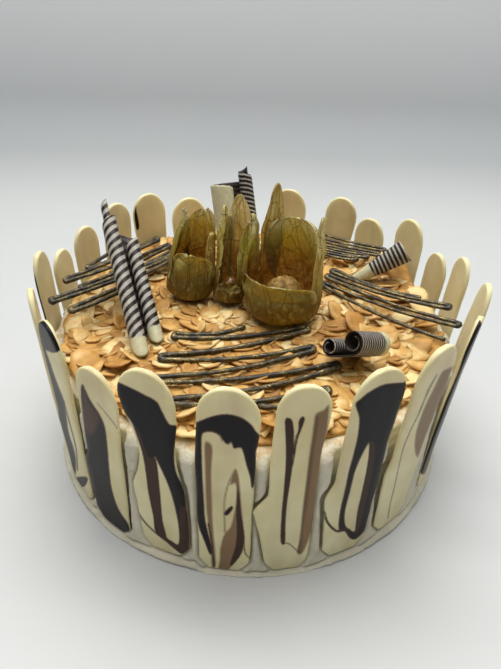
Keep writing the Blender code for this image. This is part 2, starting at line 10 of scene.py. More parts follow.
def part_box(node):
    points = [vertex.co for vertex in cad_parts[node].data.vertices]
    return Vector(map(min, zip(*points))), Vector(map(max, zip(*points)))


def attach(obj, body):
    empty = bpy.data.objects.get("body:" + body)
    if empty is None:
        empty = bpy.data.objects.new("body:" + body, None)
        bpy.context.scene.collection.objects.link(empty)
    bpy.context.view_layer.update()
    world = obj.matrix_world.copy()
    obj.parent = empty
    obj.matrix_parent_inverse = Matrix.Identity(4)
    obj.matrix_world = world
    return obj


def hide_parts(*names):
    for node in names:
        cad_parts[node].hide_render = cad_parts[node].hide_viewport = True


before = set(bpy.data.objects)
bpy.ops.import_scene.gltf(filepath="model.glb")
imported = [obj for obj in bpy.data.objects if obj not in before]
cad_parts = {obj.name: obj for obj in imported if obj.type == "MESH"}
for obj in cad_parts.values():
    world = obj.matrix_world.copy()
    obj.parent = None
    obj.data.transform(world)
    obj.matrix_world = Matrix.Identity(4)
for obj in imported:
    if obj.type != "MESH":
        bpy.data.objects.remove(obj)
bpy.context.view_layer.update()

# The cake's own sizes in metres, as its solids have them
CREAM_RADIUS, CREAM_RIM_RADIUS, CREAM_HEIGHT = 0.1148, 0.1118, 0.078
FOOT_RADIUS, LEDGE_DROP = 0.1222, 0.0010
TONGUE_BACK, TONGUE_THICKNESS, LIP_SHARE = 0.1172, 0.0031, 0.385
HEAP_RADIUS, HEAP_EDGE_HEIGHT, HEAP_DOME, HEAP_REAR_RISE = 0.1105, 0.0842, 0.0035, 0.0035
STROKE_RADIUS, STROKE_BEND, SHEET_THICKNESS = 0.00115, 0.0019, 0.0010
TONGUE_ROUND = 0.62
MM = 0.001

# Husk's sheet, the bowl's share of each lobe, and the bowl's rim height and roundness
HUSK_THICKNESS, HUSK_BOWL, HUSK_RIM, HUSK_FULL = 0.0008, 0.42, 0.55, 0.42
# How much further up than in the solid a lobe stays broad, and how much it opens there
HUSK_BREADTH, HUSK_SPREAD = 2.4, 0.22
# Height above its foot at which a husk has lost the painted shade of its bowl
HUSK_PALE_HEIGHT = 0.050
# Skin over the right berry: middle and half width in degrees, size against the berry's
MEMBRANE_MIDDLE, MEMBRANE_SPREAD, MEMBRANE_SIZE = -84.0, 92.0, 1.13

# Columns round the cream and rows up its side, how far the cream fills the gaps between the
# tongues, and how far it may stand out past their backs
CREAM_COLUMNS, CREAM_ROWS, GAP_FILL, GAP_LIMIT = 600, 62, 0.0042, 0.0036
BLOB_SWELL = 0.68

FLAKE_COUNT, FLAKE_TRIES, FLAKE_HALF_THICKNESS = 1500, 12000, 0.4 * MM
FLAKE_HALF_LENGTHS = (0.0124, 0.0112, 0.0098, 0.0080, 0.0062)
PALE_SHARE, STEEP_SHARE = 0.13, 0.07

# Camera, in the same frame
EYE = np.array((-0.00065, -0.28015, 0.24609))
PITCH, ROLL = math.radians(32.8), math.radians(1.53)
FOCAL_PIXELS, WIDTH, HEIGHT = 533.0, 501, 669

# Tongues from the front left, counter-clockwise, in degrees and metres: azimuth, tip height,
# width, lean, roll, foot height, waist, lip, sway
TONGUES = (
    (-109.8, 0.1200, 0.0275, 0.001, 0.0, 0.0050, 0.32, 0.0020, -0.0025),
    (-94.9, 0.1180, 0.0268, 0.001, -0.6, 0.0010, 0.00, 0.0000, 0.0010),
    (-80.3, 0.1190, 0.0236, 0.001, 0.0, 0.0010, 0.04, 0.0066, 0.0015),
    (-64.9, 0.1220, 0.0268, 0.003, -1.0, 0.0040, 0.03, 0.0040, 0.0010),
    (-50.5, 0.1250, 0.0275, 0.007, 0.5, 0.0060, 0.05, 0.0020, 0.0000),
    (-31.0, 0.1190, 0.0270, 0.006, 0.0, 0.0090, 0.05, 0.0000, 0.0010),
    (-13.0, 0.1190, 0.0270, 0.009, 0.0, 0.0100, 0.04, 0.0020, 0.0000),
    (2.5, 0.1190, 0.0230, 0.004, 1.0, 0.0080, 0.00, 0.0010, 0.0000),
    (15.0, 0.1100, 0.0230, 0.002, 0.0, 0.0060, 0.05, 0.0000, -0.0010),
    (29.0, 0.1210, 0.0270, 0.002, 0.0, 0.0100, 0.10, 0.0030, 0.0010),
    (45.5, 0.1110, 0.0255, 0.002, -1.0, 0.0090, 0.04, 0.0000, 0.0000),
    (59.0, 0.1210, 0.0250, 0.002, 2.0, 0.0050, 0.12, 0.0040, -0.0010),
    (77.0, 0.1210, 0.0270, 0.002, 0.0, 0.0110, 0.05, 0.0000, 0.0010),
    (96.5, 0.1200, 0.0270, 0.002, 1.0, 0.0070, 0.08, 0.0030, 0.0000),
    (114.0, 0.1150, 0.0275, 0.002, 0.0, 0.0100, 0.00, 0.0000, 0.0010),
    (129.0, 0.1230, 0.0270, 0.002, -1.5, 0.0040, 0.10, 0.0050, 0.0000),
    (143.5, 0.1220, 0.0250, 0.002, 1.0, 0.0090, 0.04, 0.0000, -0.0010),
    (157.0, 0.1150, 0.0250, 0.002, 0.0, 0.0120, 0.08, 0.0030, 0.0000),
    (169.5, 0.1100, 0.0225, 0.002, 0.0, 0.0070, 0.00, 0.0000, 0.0010),
    (-177.0, 0.1210, 0.0250, 0.002, -1.0, 0.0100, 0.05, 0.0030, 0.0000),
    (-158.5, 0.1170, 0.0270, 0.002, 0.0, 0.0080, 0.04, 0.0020, 0.0000),
    (-140.5, 0.1190, 0.0285, 0.002, -1.0, 0.0060, 0.06, 0.0030, 0.0000),
    (-125.5, 0.1100, 0.0275, 0.001, -3.0, 0.0030, 0.05, 0.0030, 0.0000),
)
# Those seen closely, which get a finer mesh
FRONT_TONGUES = (1, 2, 3, 4, 5, 6, 23)

# Marbling as outlines drawn over enlarged views of the photo: each view's corner in the photo's
# pixels and its enlargement, then areas and lines by kind, in the order in which they lie.
VIEW_A, VIEW_B, VIEW_C = (75.0, 365.0, 7.646), (185.0, 380.0, 7.647), (320.0, 330.0, 6.819)
VIEW_D, VIEW_E = (85.0, 190.0, 8.71), (15.0, 230.0, 5.408)
MARBLING = {
    1: ("outer", VIEW_A, (
        ("black", ((265, 190), (300, 130), (400, 165), (520, 225), (620, 280), (665, 360),
                   (720, 455), (780, 470), (770, 560), (755, 680), (770, 820), (830, 950),
                   (850, 1100), (870, 1250), (875, 1400), (830, 1445), (770, 1410), (700, 1350),
                   (620, 1280), (600, 1150), (565, 980), (545, 830), (520, 680), (470, 520),
                   (430, 430), (350, 330), (285, 250))),
        ("hole", ((610, 700), (690, 860), (740, 990), (780, 1150), (800, 1290), (790, 1375),
                  (740, 1350), (690, 1310), (655, 1150), (640, 950), (615, 800))),
        ("brown", ((450, 470), (500, 530), (560, 700), (620, 720), (650, 960), (670, 1180),
                   (700, 1320), (645, 1300), (600, 1150), (565, 980), (545, 830), (520, 680))),
        ("brown", ((800, 1100), (850, 1100), (870, 1250), (875, 1400), (830, 1445), (770, 1410),
                   (700, 1350), (640, 1290), (690, 1310), (740, 1350), (790, 1375), (802, 1290))),
    ), (("brown", 7.0, ((440, 960), (455, 1060), (510, 1170), (580, 1250), (640, 1300))),)),
    2: ("outer", VIEW_B, (
        ("black", ((70, 350), (130, 310), (230, 275), (330, 265), (430, 290), (500, 340),
                   (545, 400), (590, 440), (640, 478), (600, 500), (545, 520), (540, 600),
                   (545, 720), (515, 825), (500, 740), (470, 640), (440, 530), (410, 515),
                   (375, 520), (355, 470), (330, 490), (300, 470), (265, 420), (215, 395),
                   (150, 395), (125, 430), (125, 560), (130, 720), (140, 900), (150, 1050),
                   (170, 1150), (205, 1300), (190, 1330), (150, 1230), (110, 1130), (85, 1000),
                   (75, 850), (70, 650), (65, 500))),
        ("tan", ((150, 490), (185, 480), (210, 530), (200, 700), (205, 900), (212, 1100),
                 (230, 1300), (235, 1420), (205, 1430), (195, 1250), (175, 1100), (160, 900),
                 (155, 700))),
        ("tan", ((380, 680), (410, 740), (425, 900), (440, 1050), (455, 1230), (430, 1330),
                 (370, 1400), (320, 1470), (250, 1515), (150, 1505), (95, 1445), (190, 1450),
                 (240, 1470), (265, 1380), (270, 1290), (300, 1180), (350, 1120), (380, 1000),
                 (395, 880), (385, 790), (345, 800))),
        ("brown", ((405, 800), (420, 900), (430, 1020), (455, 1200), (430, 1330), (360, 1420),
                   (345, 1400), (385, 1270), (395, 1150), (390, 1000))),
        ("black", ((300, 1020), (350, 968), (364, 982), (325, 1032))),
    ), (("tan", 6.0, ((375, 700), (330, 800), (305, 900), (300, 1000), (305, 1160))),
        ("brown", 7.0, ((450, 1200), (455, 1300), (480, 1350), (530, 1372))),
        ("brown", 6.0, ((120, 420), (150, 395), (215, 395), (262, 425), (285, 470))),
        ("brown", 8.0, ((180, 1100), (205, 1250), (222, 1420))))),
    3: ("outer", VIEW_B, (
        ("tan", ((1100, 190), (1100, 260), (1085, 400), (1065, 520), (1035, 700), (1015, 900),
                 (990, 1050), (960, 1180), (900, 1320), (855, 1320), (880, 1200), (900, 1000),
                 (925, 800), (950, 600), (975, 450), (990, 330), (1000, 260), (1060, 230))),
        ("brown", ((765, 300), (800, 290), (825, 320), (835, 420), (830, 560), (820, 680),
                   (800, 820), (780, 960), (770, 1100), (765, 1250), (730, 1235), (735, 1050),
                   (750, 880), (765, 700), (770, 550), (765, 400))),
        ("brown", ((870, 310), (900, 275), (918, 300), (895, 370), (865, 450), (845, 560),
                   (826, 660), (822, 560), (845, 440), (865, 380))),
        ("soft", ((1010, 270), (1022, 300), (1004, 420), (985, 560), (960, 760), (935, 950),
                  (905, 1120), (890, 1280), (868, 1310), (880, 1180), (905, 950), (935, 720),
                  (960, 500), (985, 330))),
    ), (("brown", 6.0, ((765, 1245), (800, 1255), (850, 1300), (880, 1320))),)),
    4: ("outer", VIEW_C, (
        ("black", ((245, 510), (270, 480), (330, 430), (420, 380), (500, 365), (570, 360),
                   (607, 345), (600, 400), (570, 470), (530, 550), (500, 650), (460, 760),
                   (440, 850), (420, 950), (400, 1060), (370, 1180), (340, 1290), (300, 1370),
                   (240, 1425), (200, 1410), (170, 1365), (130, 1355), (140, 1230), (170, 1100),
                   (200, 960), (230, 850), (260, 720), (270, 600))),
        ("hole", ((335, 765), (335, 860), (315, 980), (285, 1120), (258, 1240), (240, 1370),
                  (200, 1360), (170, 1330), (168, 1240), (205, 1090), (235, 970), (275, 870))),
        ("brown", ((340, 765), (375, 780), (370, 900), (350, 1020), (310, 1180), (280, 1320),
                   (240, 1405), (240, 1350), (256, 1240), (284, 1120), (314, 980), (332, 860))),
    ), (("brown", 10.0, ((30, 1240), (50, 1310), (110, 1370), (170, 1365), (210, 1415))),)),
    5: ("outer", VIEW_C, (
        ("tan", ((895, 250), (900, 270), (860, 400), (820, 500), (780, 590), (740, 680),
                 (700, 780), (665, 870), (645, 800), (655, 700), (685, 600), (725, 500),
                 (775, 400), (830, 290), (870, 265))),
    ), (("brown", 3.0, ((802, 298), (740, 400), (700, 500), (652, 620))),
        ("brown", 3.4, ((790, 320), (730, 440), (680, 560), (620, 680), (570, 800), (540, 920),
                        (510, 1060), (480, 1180), (462, 1285))))),
    6: ("outer", VIEW_C, (
        ("black", ((1095, -60), (1040, -40), (1000, 30), (960, 140), (965, 220), (930, 320),
                   (880, 430), (850, 440), (820, 500), (790, 590), (730, 700), (690, 800),
                   (655, 930), (680, 970), (715, 975), (750, 870), (775, 800), (800, 760),
                   (840, 640), (880, 520), (915, 430), (960, 300), (1010, 190), (1091, 60))),
    ), (("black", 8.0, ((750, 880), (762, 950), (735, 1020), (716, 1110))),)),
    23: ("outer", VIEW_A, (
        ("black", ((55, 150), (75, 190), (120, 280), (180, 370), (225, 470), (245, 620),
                   (260, 800), (280, 950), (330, 1100), (400, 1210), (412, 1268), (360, 1280),
                   (290, 1250), (215, 1190), (165, 1090), (140, 980), (130, 900), (100, 905),
                   (80, 860), (85, 700), (75, 500), (55, 300), (48, 200))),
        ("soft", ((55, 150), (120, 290), (190, 400), (150, 520), (90, 520), (60, 400))),
    ), (("brown", 3.5, ((170, 290), (240, 375), (300, 450), (365, 565))),)),
    22: ("outer", VIEW_E, (
        ("black", ((150, 490), (120, 520), (120, 580), (135, 635), (175, 650), (205, 662),
                   (240, 652), (250, 620), (235, 580), (210, 540), (180, 505))),
        ("black", ((120, 560), (165, 655), (185, 710), (205, 770), (235, 850), (262, 920),
                   (275, 1000), (290, 1100), (315, 1180), (328, 1250), (325, 1340), (320, 1370),
                   (280, 1340), (270, 1260), (260, 1180), (240, 1080), (210, 990), (185, 900),
                   (160, 800), (135, 700))),
        ("black", ((318, 1345), (375, 1335), (392, 1350), (375, 1385), (345, 1388), (328, 1410),
                   (338, 1440), (370, 1460), (402, 1455), (395, 1476), (350, 1480), (300, 1440),
                   (295, 1385))),
    ), (("brown", 4.0, ((262, 920), (300, 1060), (330, 1180), (338, 1300))),)),
    20: ("outer", VIEW_E, (
        ("black", ((50, 110), (78, 122), (95, 190), (105, 250), (128, 280), (142, 320),
                   (147, 360), (172, 420), (202, 480), (220, 545), (180, 560), (130, 460),
                   (90, 340), (60, 220))),
    ), ()),
    16: ("inner", VIEW_D, (
        ("black", ((447, 48), (405, 85), (380, 150), (376, 230), (400, 340), (467, 340),
                   (461, 250), (446, 180), (444, 110))),
    ), ()),
}

# Zigzags in metres: turning points seen from above, sag of a stroke, the way the line advances,
# height at the cake's axis and slope, and thickness against the solid's
ZIGZAGS = {
    "zigzag_front": {
        "turns": ((-0.003, -0.0285), (-0.0400, -0.0395), (0.0290, -0.0300), (-0.0440, -0.0590),
                  (0.0305, -0.0490), (-0.0465, -0.0770), (0.0420, -0.0625), (-0.0350, -0.0920),
                  (0.0350, -0.0820), (0.0030, -0.0935)),
        "sag": 0.0042, "advance": (0.05, -1.0), "height": 0.0905, "slope": (0.0, 0.035), "thick": 1.15,
    },
    "zigzag_left": {
        "turns": ((-0.0880, 0.0640), (-0.1010, 0.0180), (-0.0690, 0.0690), (-0.1085, -0.0010),
                  (-0.0600, 0.0600), (-0.0975, -0.0080), (-0.0560, 0.0490), (-0.1085, -0.0255),
                  (-0.0560, 0.0385), (-0.0960, -0.0330), (-0.0640, 0.0120)),
        "sag": 0.0030, "advance": (0.45, -0.9), "height": 0.0920, "slope": (-0.085, 0.0), "thick": 1.10,
    },
    "zigzag_right": {
        "turns": ((0.1010, -0.0500), (0.0450, 0.0165), (0.1095, -0.0340), (0.0490, 0.0270),
                  (0.1100, -0.0150), (0.0530, 0.0345), (0.1000, -0.0040)),
        "sag": 0.0052, "advance": (0.50, 0.85), "height": 0.0900, "slope": (0.070, 0.0), "thick": 0.95,
    },
    "zigzag_rear": {
        "turns": ((0.0350, 0.1060), (0.0900, 0.0680), (0.0330, 0.0950), (0.0850, 0.0600),
                  (0.0330, 0.0840), (0.0760, 0.0560), (0.0370, 0.0730), (0.0680, 0.0520),
                  (0.0420, 0.0630)),
        "sag": 0.0030, "advance": (-0.35, -0.93), "height": 0.0955, "slope": (0.0, 0.0), "thick": 0.85,
    },
}

# Rolls in metres and degrees: foot, tip, radii of the two barrels (0 leaves one out), turns, spin,
# widening, extra length of the first and second edge at the tip, and whether the foot is level
ROLLS = {
    "roll_left": ((-0.0545, -0.0470, 0.0890), (-0.0785, 0.0100, 0.1350), 0.0044, 0.0044, 1.5,
                  210.0, 1.0, -0.0260, 0.0110, True),
    "roll_front": ((0.0612, -0.0520, 0.0945), (0.0437, -0.0650, 0.1030), 0.0048, 0.0062, 1.5,
                   -149.0, 1.0, 0.0010, -0.0010, False),
    "roll_right": ((0.0715, 0.0340, 0.0905), (0.0970, 0.0345, 0.1085), 0.0, 0.0042, 1.7,
                   200.0, 2.1, 0.0, 0.0, True),
    "roll_rear": ((-0.0080, 0.0560, 0.0900), (-0.0150, 0.0740, 0.1310), 0.0054, 0.0086, 1.3,
                  180.0, 1.0, 0.0170, -0.0010, True),
}
# Stripes of each roll in mm: period along it, dark share, climb per mm round the sheet,
# length of the plain foot on its first and on its second barrel
STRIPES = {"roll_left": (5.0, 0.52, -0.72, 8.5, 2.0), "roll_front": (1.75, 0.66, 0.04, 4.0, 4.0),
           "roll_right": (2.7, 0.56, 0.12, 7.5, 7.5), "roll_rear": (2.9, 0.60, 0.30, 10.0, 60.0)}

# Husks in metres and degrees: base, tilt and its direction, radius, berry's radius, then lobes as
# azimuth, half width, length, tip radius, fullness and skew
HUSKS = {
    "husk_left": ((-0.0385, 0.0055), 7.0, 25.0, 0.0130, 0.0076,
                  ((-95.0, 50.0, 0.031, 0.0105, 3.5, 0.0), (-10.0, 35.0, 0.042, 0.0075, 3.0, 0.0),
                   (67.0, 42.0, 0.053, 0.0075, 5.0, 0.0), (134.0, 25.0, 0.047, 0.0070, 2.0, 0.0),
                   (187.0, 28.0, 0.053, 0.0045, 1.8, -20.0))),
    "husk_middle": ((-0.0140, -0.0010), 12.0, 75.0, 0.0090, 0.0056,
                    ((-95.0, 35.0, 0.014, 0.0090, 2.0, 0.0), (-30.0, 30.0, 0.049, 0.0075, 2.5, 0.0),
                     (45.0, 45.0, 0.062, 0.0070, 2.2, 30.0), (113.0, 23.0, 0.050, 0.0060, 2.0, 0.0),
                     (183.0, 47.0, 0.056, 0.0060, 3.0, -10.0))),
    "husk_right": ((0.0170, -0.0130), 2.0, 88.0, 0.0210, 0.0095,
                   ((-116.0, 64.0, 0.0275, 0.0205, 3.0, -6.0), (-24.0, 28.0, 0.0595, 0.0170, 1.5, 14.0),
                    (52.0, 48.0, 0.053, 0.0150, 6.0, 20.0), (116.0, 16.0, 0.0715, 0.0160, 1.8, -10.0),
                    (156.0, 24.0, 0.057, 0.0175, 2.0, 0.0))),
}
# Each lobe's colour, from -1 for dry brown to 1 for green, and how torn its end is
HUSK_TINTS = {
    "husk_left": ((-0.1, 0.3), (-0.8, 0.4), (-0.3, 1.0), (-0.2, 0.8), (0.0, 0.5)),
    "husk_middle": ((-0.9, 0.6), (0.5, 0.6), (-0.6, 0.4), (-0.2, 0.8), (0.0, 1.0)),
    "husk_right": ((0.2, 0.1), (-0.3, 0.3), (0.45, 0.15), (-0.7, 1.0), (0.9, 0.3)),
}


# Small tools

def smooth_step(low, high, value):
    share = np.clip((value - low) / (high - low), 0.0, 1.0)
    return share * share * (3.0 - 2.0 * share)


def wave(*place):
    """Smooth noise between about -1 and 1."""
    return noise.noise(Vector(place))


def project(points):
    """Photo pixels of points in the cake's frame, and pixels per metre there."""
    ahead = np.array((0.0, math.cos(PITCH), -math.sin(PITCH)))
    above = np.array((0.0, math.sin(PITCH), math.cos(PITCH)))
    away = np.asarray(points) - EYE
    depth = away @ ahead
    u, v = FOCAL_PIXELS * away[:, 0] / depth, FOCAL_PIXELS * (away @ above) / depth
    x = WIDTH / 2 + math.cos(ROLL) * u + math.sin(ROLL) * v
    y = HEIGHT / 2 + math.sin(ROLL) * u - math.cos(ROLL) * v
    return np.stack((x, y), -1), FOCAL_PIXELS / depth


def rounded(points, closed, parts=4):
    """Catmull-Rom curve through points."""
    p = np.array(points, float)
    count = len(p)
    made = []
    for i in range(count if closed else count - 1):
        if closed:
            a, b, c, d = (p[(i + k) % count] for k in (-1, 0, 1, 2))
        else:
            a, b, c, d = (p[min(count - 1, max(0, i + k))] for k in (-1, 0, 1, 2))
        for t in np.arange(parts) / parts:
            made.append(0.5 * (2 * b + (c - a) * t + (2 * a - 5 * b + 4 * c - d) * t ** 2
                               + (3 * b - a - 3 * c + d) * t ** 3))
    if not closed:
        made.append(p[-1])
    return np.array(made)


def edge_distance(spots, line, closed):
    """Distance of each spot from a line of points."""
    starts = line if closed else line[:-1]
    ends = np.roll(line, -1, axis=0) if closed else line[1:]
    nearest = np.full(len(spots), 1e9)
    for a, b in zip(starts, ends):
        run = b - a
        share = np.clip((spots - a) @ run / max(1e-12, run @ run), 0.0, 1.0)
        nearest = np.minimum(nearest, np.linalg.norm(spots - a - share[:, None] * run, axis=1))
    return nearest


def area_depth(spots, outline):
    """How deep each spot lies inside a closed outline, negative outside."""
    inside = np.zeros(len(spots), bool)
    for a, b in zip(outline, np.roll(outline, -1, axis=0)):
        spans = (a[1] > spots[:, 1]) != (b[1] > spots[:, 1])
        rise = b[1] - a[1] if b[1] != a[1] else 1e-12
        inside ^= spans & (spots[:, 0] < a[0] + (spots[:, 1] - a[1]) * (b[0] - a[0]) / rise)
    return np.where(inside, 1.0, -1.0) * edge_distance(spots, outline, True)


def ring_faces(rows, sides, closed=True, first=0):
    faces = []
    for row in range(rows - 1):
        for i in range(sides if closed else sides - 1):
            j = (i + 1) % sides
            a, b = first + row * sides, first + (row + 1) * sides
            faces.append((a + i, a + j, b + j, b + i))
    return faces


def tube_faces(rows, sides):
    """Rings joined to a tube, with both ends closed."""
    count = rows * sides
    return ring_faces(rows, sides) + [tuple(range(sides)), tuple(range(count - sides, count))]


def sheet_faces(rows, columns, first=0):
    """Front and back of a thin sheet, whose points follow each other, and the strip round it."""
    second = first + rows * columns
    faces = ring_faces(rows, columns, False, first) + ring_faces(rows, columns, False, second)
    loop = list(range(columns)) + [r * columns + columns - 1 for r in range(1, rows)]
    loop += [(rows - 1) * columns + k for k in range(columns - 2, -1, -1)]
    loop += [r * columns for r in range(rows - 2, 0, -1)]
    for a, b in zip(loop, loop[1:] + loop[:1]):
        faces.append((first + a, first + b, second + b, second + a))
    return faces


def mesh_object(name, points, faces, material, nodes, slot, **attributes):
    """A smooth piece that rides on the cake and stands for the given nodes."""
    mesh = bpy.data.meshes.new(name)
    mesh.from_pydata(np.asarray(points, float).tolist(), [], faces)
    for key, values in attributes.items():
        layer = mesh.attributes.new(key, "FLOAT", "POINT")
        layer.data.foreach_set("value", np.asarray(values, np.float32))
    shape = bmesh.new()
    shape.from_mesh(mesh)
    bmesh.ops.recalc_face_normals(shape, faces=shape.faces)
    shape.to_mesh(mesh)
    shape.free()
    mesh.materials.append(material)
    mesh.shade_smooth()
    obj = bpy.data.objects.new(name, mesh)
    bpy.context.scene.collection.objects.link(obj)
    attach(obj, "root")
    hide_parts(*nodes)
    return obj


class Graph:
    """Node tree of one procedural material."""

    def __init__(self, name, **plain):
        self.material = bpy.data.materials.new(name)
        self.material.use_nodes = True
        self.tree = self.material.node_tree
        self.shader = self.tree.nodes["Principled BSDF"]
        self.place = self.node("ShaderNodeTexCoord").outputs["Object"]
        for socket, value in plain.items():
            self.put(socket.replace("_", " "), value)

    def join(self, value, socket):
        if isinstance(value, bpy.types.NodeSocket):
            self.tree.links.new(value, socket)
        else:
            socket.default_value = value

    def put(self, socket, value):
        self.join(value, self.shader.inputs[socket])

    def node(self, kind, inputs=(), **settings):
        made = self.tree.nodes.new(kind)
        for key, value in settings.items():
            setattr(made, key, value)
        for key, value in dict(inputs).items():
            self.join(value, made.inputs[key])
        return made

    def attribute(self, name):
        return self.node("ShaderNodeAttribute", attribute_name=name).outputs["Fac"]

    def noise(self, scale, detail=2.0, stretch=None):
        place = self.place
        if stretch:
            place = self.node("ShaderNodeMapping", {"Vector": place, "Scale": stretch}).outputs[0]
        return self.node("ShaderNodeTexNoise", {"Vector": place, "Scale": scale,
                                                "Detail": detail}).outputs["Fac"]

    def maths(self, operation, a, b=0.0):
        return self.node("ShaderNodeMath", {0: a, 1: b}, operation=operation).outputs[0]

    def span(self, value, low, high, start=0.0, end=1.0):
        return self.node("ShaderNodeMapRange", {"Value": value, "From Min": low, "From Max": high,
                                                "To Min": start, "To Max": end}).outputs[0]

    def mix(self, share, a, b):
        made = self.node("ShaderNodeMix", data_type="RGBA")
        for value, socket in ((share, 0), (a, 6), (b, 7)):
            if isinstance(value, tuple):
                value = (*value, 1.0)
            self.join(value, made.inputs[socket])
        return made.outputs[2]

    def glow_through(self, weight, *radius):
        """Light that spreads below the surface, by a radius in metres for red, green and blue."""
        self.put("Subsurface Weight", weight)
        self.put("Subsurface Radius", radius)
        self.put("Subsurface Scale", 1.0)

    def bump(self, height, distance, strength=1.0):
        self.put("Normal", self.node("ShaderNodeBump", {"Height": height, "Distance": distance,
                                                        "Strength": strength}).outputs[0])


# Chocolate tongues

def tongue_sides(share, width, length, waist, lip, sway):
    tip_start = 1.0 - TONGUE_ROUND * width / length
    middle = sway * smooth_step(0.62, 0.90, share)
    if share >= tip_start:
        along = (share - tip_start) / (1.0 - tip_start)
        half = 0.5 * width * math.sqrt(max(0.0, 1.0 - along ** 2.2))
        return middle - half, middle + half
    body = 1.0 - 0.05 * (1.0 - share / tip_start) - waist * math.exp(-((share - 0.61) / 0.15) ** 2)
    foot = 0.62 + 0.38 * smooth_step(-0.01, 0.07, share)
    half = 0.5 * width * body * foot
    if share > LIP_SHARE:
        lip *= 1.0 - smooth_step(LIP_SHARE, LIP_SHARE + 0.10, share)
    else:
        lip *= (share / LIP_SHARE) ** 1.5
    return middle - half - lip, middle + half


def streaks(rng, width, length, count):
    """Long drawn-out areas of dark chocolate, in metres across and up a tongue."""
    areas = []
    for number in range(count):
        kind = ("black", "brown", "black", "tan")[number % 4]
        middle = rng.uniform(-0.32, 0.32) * width
        drift = rng.uniform(-0.2, 0.2) * width
        high, low = rng.uniform(0.60, 0.94) * length, rng.uniform(0.03, 0.35) * length
        wide = rng.uniform(0.05, 0.20) * width
        left, right = [], []
        for k in range(7):
            share = k / 6.0
            swell = wide * (0.35 + math.sin(math.pi * (0.12 + 0.8 * share))) \
                * rng.uniform(0.75, 1.25)
            centre = middle + drift * share + rng.uniform(-0.04, 0.04) * width
            up = high + (low - high) * share
            left.append((centre - swell, up))
            right.append((centre + swell, up))
        areas.append((kind, left + right[::-1]))
    return areas


def tongue_object(number, spec, material):
    azimuth, tip, width, lean, roll, foot, waist, lip, sway = spec
    azimuth, roll = math.radians(azimuth), math.radians(roll)
    columns, rows = (38, 100) if number in FRONT_TONGUES else (26, 64)
    rng = random.Random(100 + number)
    length = tip - foot
    tip_start = 1.0 - TONGUE_ROUND * width / length
    shares = np.concatenate((np.linspace(0.0, tip_start, rows, endpoint=False),
                             tip_start + (1.0 - tip_start)
                             * np.sin(np.linspace(0.0, 0.5 * math.pi, rows // 4))))
    shares[-1] = 0.999999
    across = np.linspace(-1.0, 1.0, columns)
    rim = np.sqrt(1.0 - np.abs(across) ** 7)
    out = np.array((math.cos(azimuth), math.sin(azimuth), 0.0))
    aside = np.array((-out[1], out[0], 0.0))
    points, flat, side_of = [], [], []
    for share in shares:
        left, right = tongue_sides(share, width, length, waist, lip, sway)
        ragged = 0.35 * MM + 0.5 * MM * (1.0 - smooth_step(0.0, 0.15, share))
        left += ragged * wave(share * 9.0, number, 0.3) + 0.2 * MM
        right += ragged * wave(share * 9.0, number, 7.3) - 0.2 * MM
        middle, half = 0.5 * (left + right), max(0.0002, 0.5 * (right - left))
        end = min(1.0, share / 0.012, (1.0 - share) / 0.010)
        thick = 0.5 * TONGUE_THICKNESS * (0.62 + 0.38 * smooth_step(0.0, 0.5, share)) \
            * math.sqrt(max(0.0, 1.0 - (1.0 - end) ** 2))
        for side, order in ((1.0, range(columns)), (-1.0, range(columns - 2, 0, -1))):
            for k in order:
                sideways = middle + across[k] * half
                up = (share - 0.5) * length
                relief = 0.12 * MM * wave(sideways * 110.0, up * 45.0, number + 3.0 * side)
                offset = side * thick * rim[k] + relief
                u = sideways * math.cos(roll) - up * math.sin(roll)
                z = foot + 0.5 * length + up * math.cos(roll) + sideways * math.sin(roll)
                reach = TONGUE_BACK + 0.5 * TONGUE_THICKNESS + offset + lean * share ** 1.6
                points.append(out * reach + aside * u + np.array((0.0, 0.0, z)))
                flat.append((sideways, up + 0.5 * length))
                side_of.append(side)
    points, flat, side_of = np.array(points), np.array(flat), np.array(side_of)
    sides = 2 * columns - 2
    faces = tube_faces(len(shares), sides)

    depth = {kind: np.full(len(points), -9.0) for kind in ("black", "brown", "tan", "soft")}
    shown, view, areas, lines = MARBLING.get(number, ("", None, (), ()))
    for face, side in (("outer", 1.0), ("inner", -1.0)):
        chosen = side_of == side
        if face == shown:
            pixels, scale = project(points[chosen])
            spots = (pixels - np.array(view[:2])) * view[2]
            unit = scale * view[2] * MM
            for kind, outline in areas:
                lies = area_depth(spots, rounded(outline, True)) / unit
                if kind == "hole":
                    depth["black"][chosen] = np.minimum(depth["black"][chosen], -lies)
                else:
                    depth[kind][chosen] = np.maximum(depth[kind][chosen], lies)
            for kind, half, line in lines:
                lies = (half - edge_distance(spots, rounded(line, False), False)) / unit
                depth[kind][chosen] = np.maximum(depth[kind][chosen], lies)
        elif face == "outer":
            for kind, outline in streaks(rng, width, length, rng.choice((2, 3, 4))):
                lies = area_depth(flat[chosen], rounded(outline, True)) / MM
                depth[kind][chosen] = np.maximum(depth[kind][chosen], lies)
    return mesh_object(f"chocolate_tongue_{number:02d}", points, faces, material,
                       (f"tongue_{number:02d}",), "marbled_chocolate", **depth)


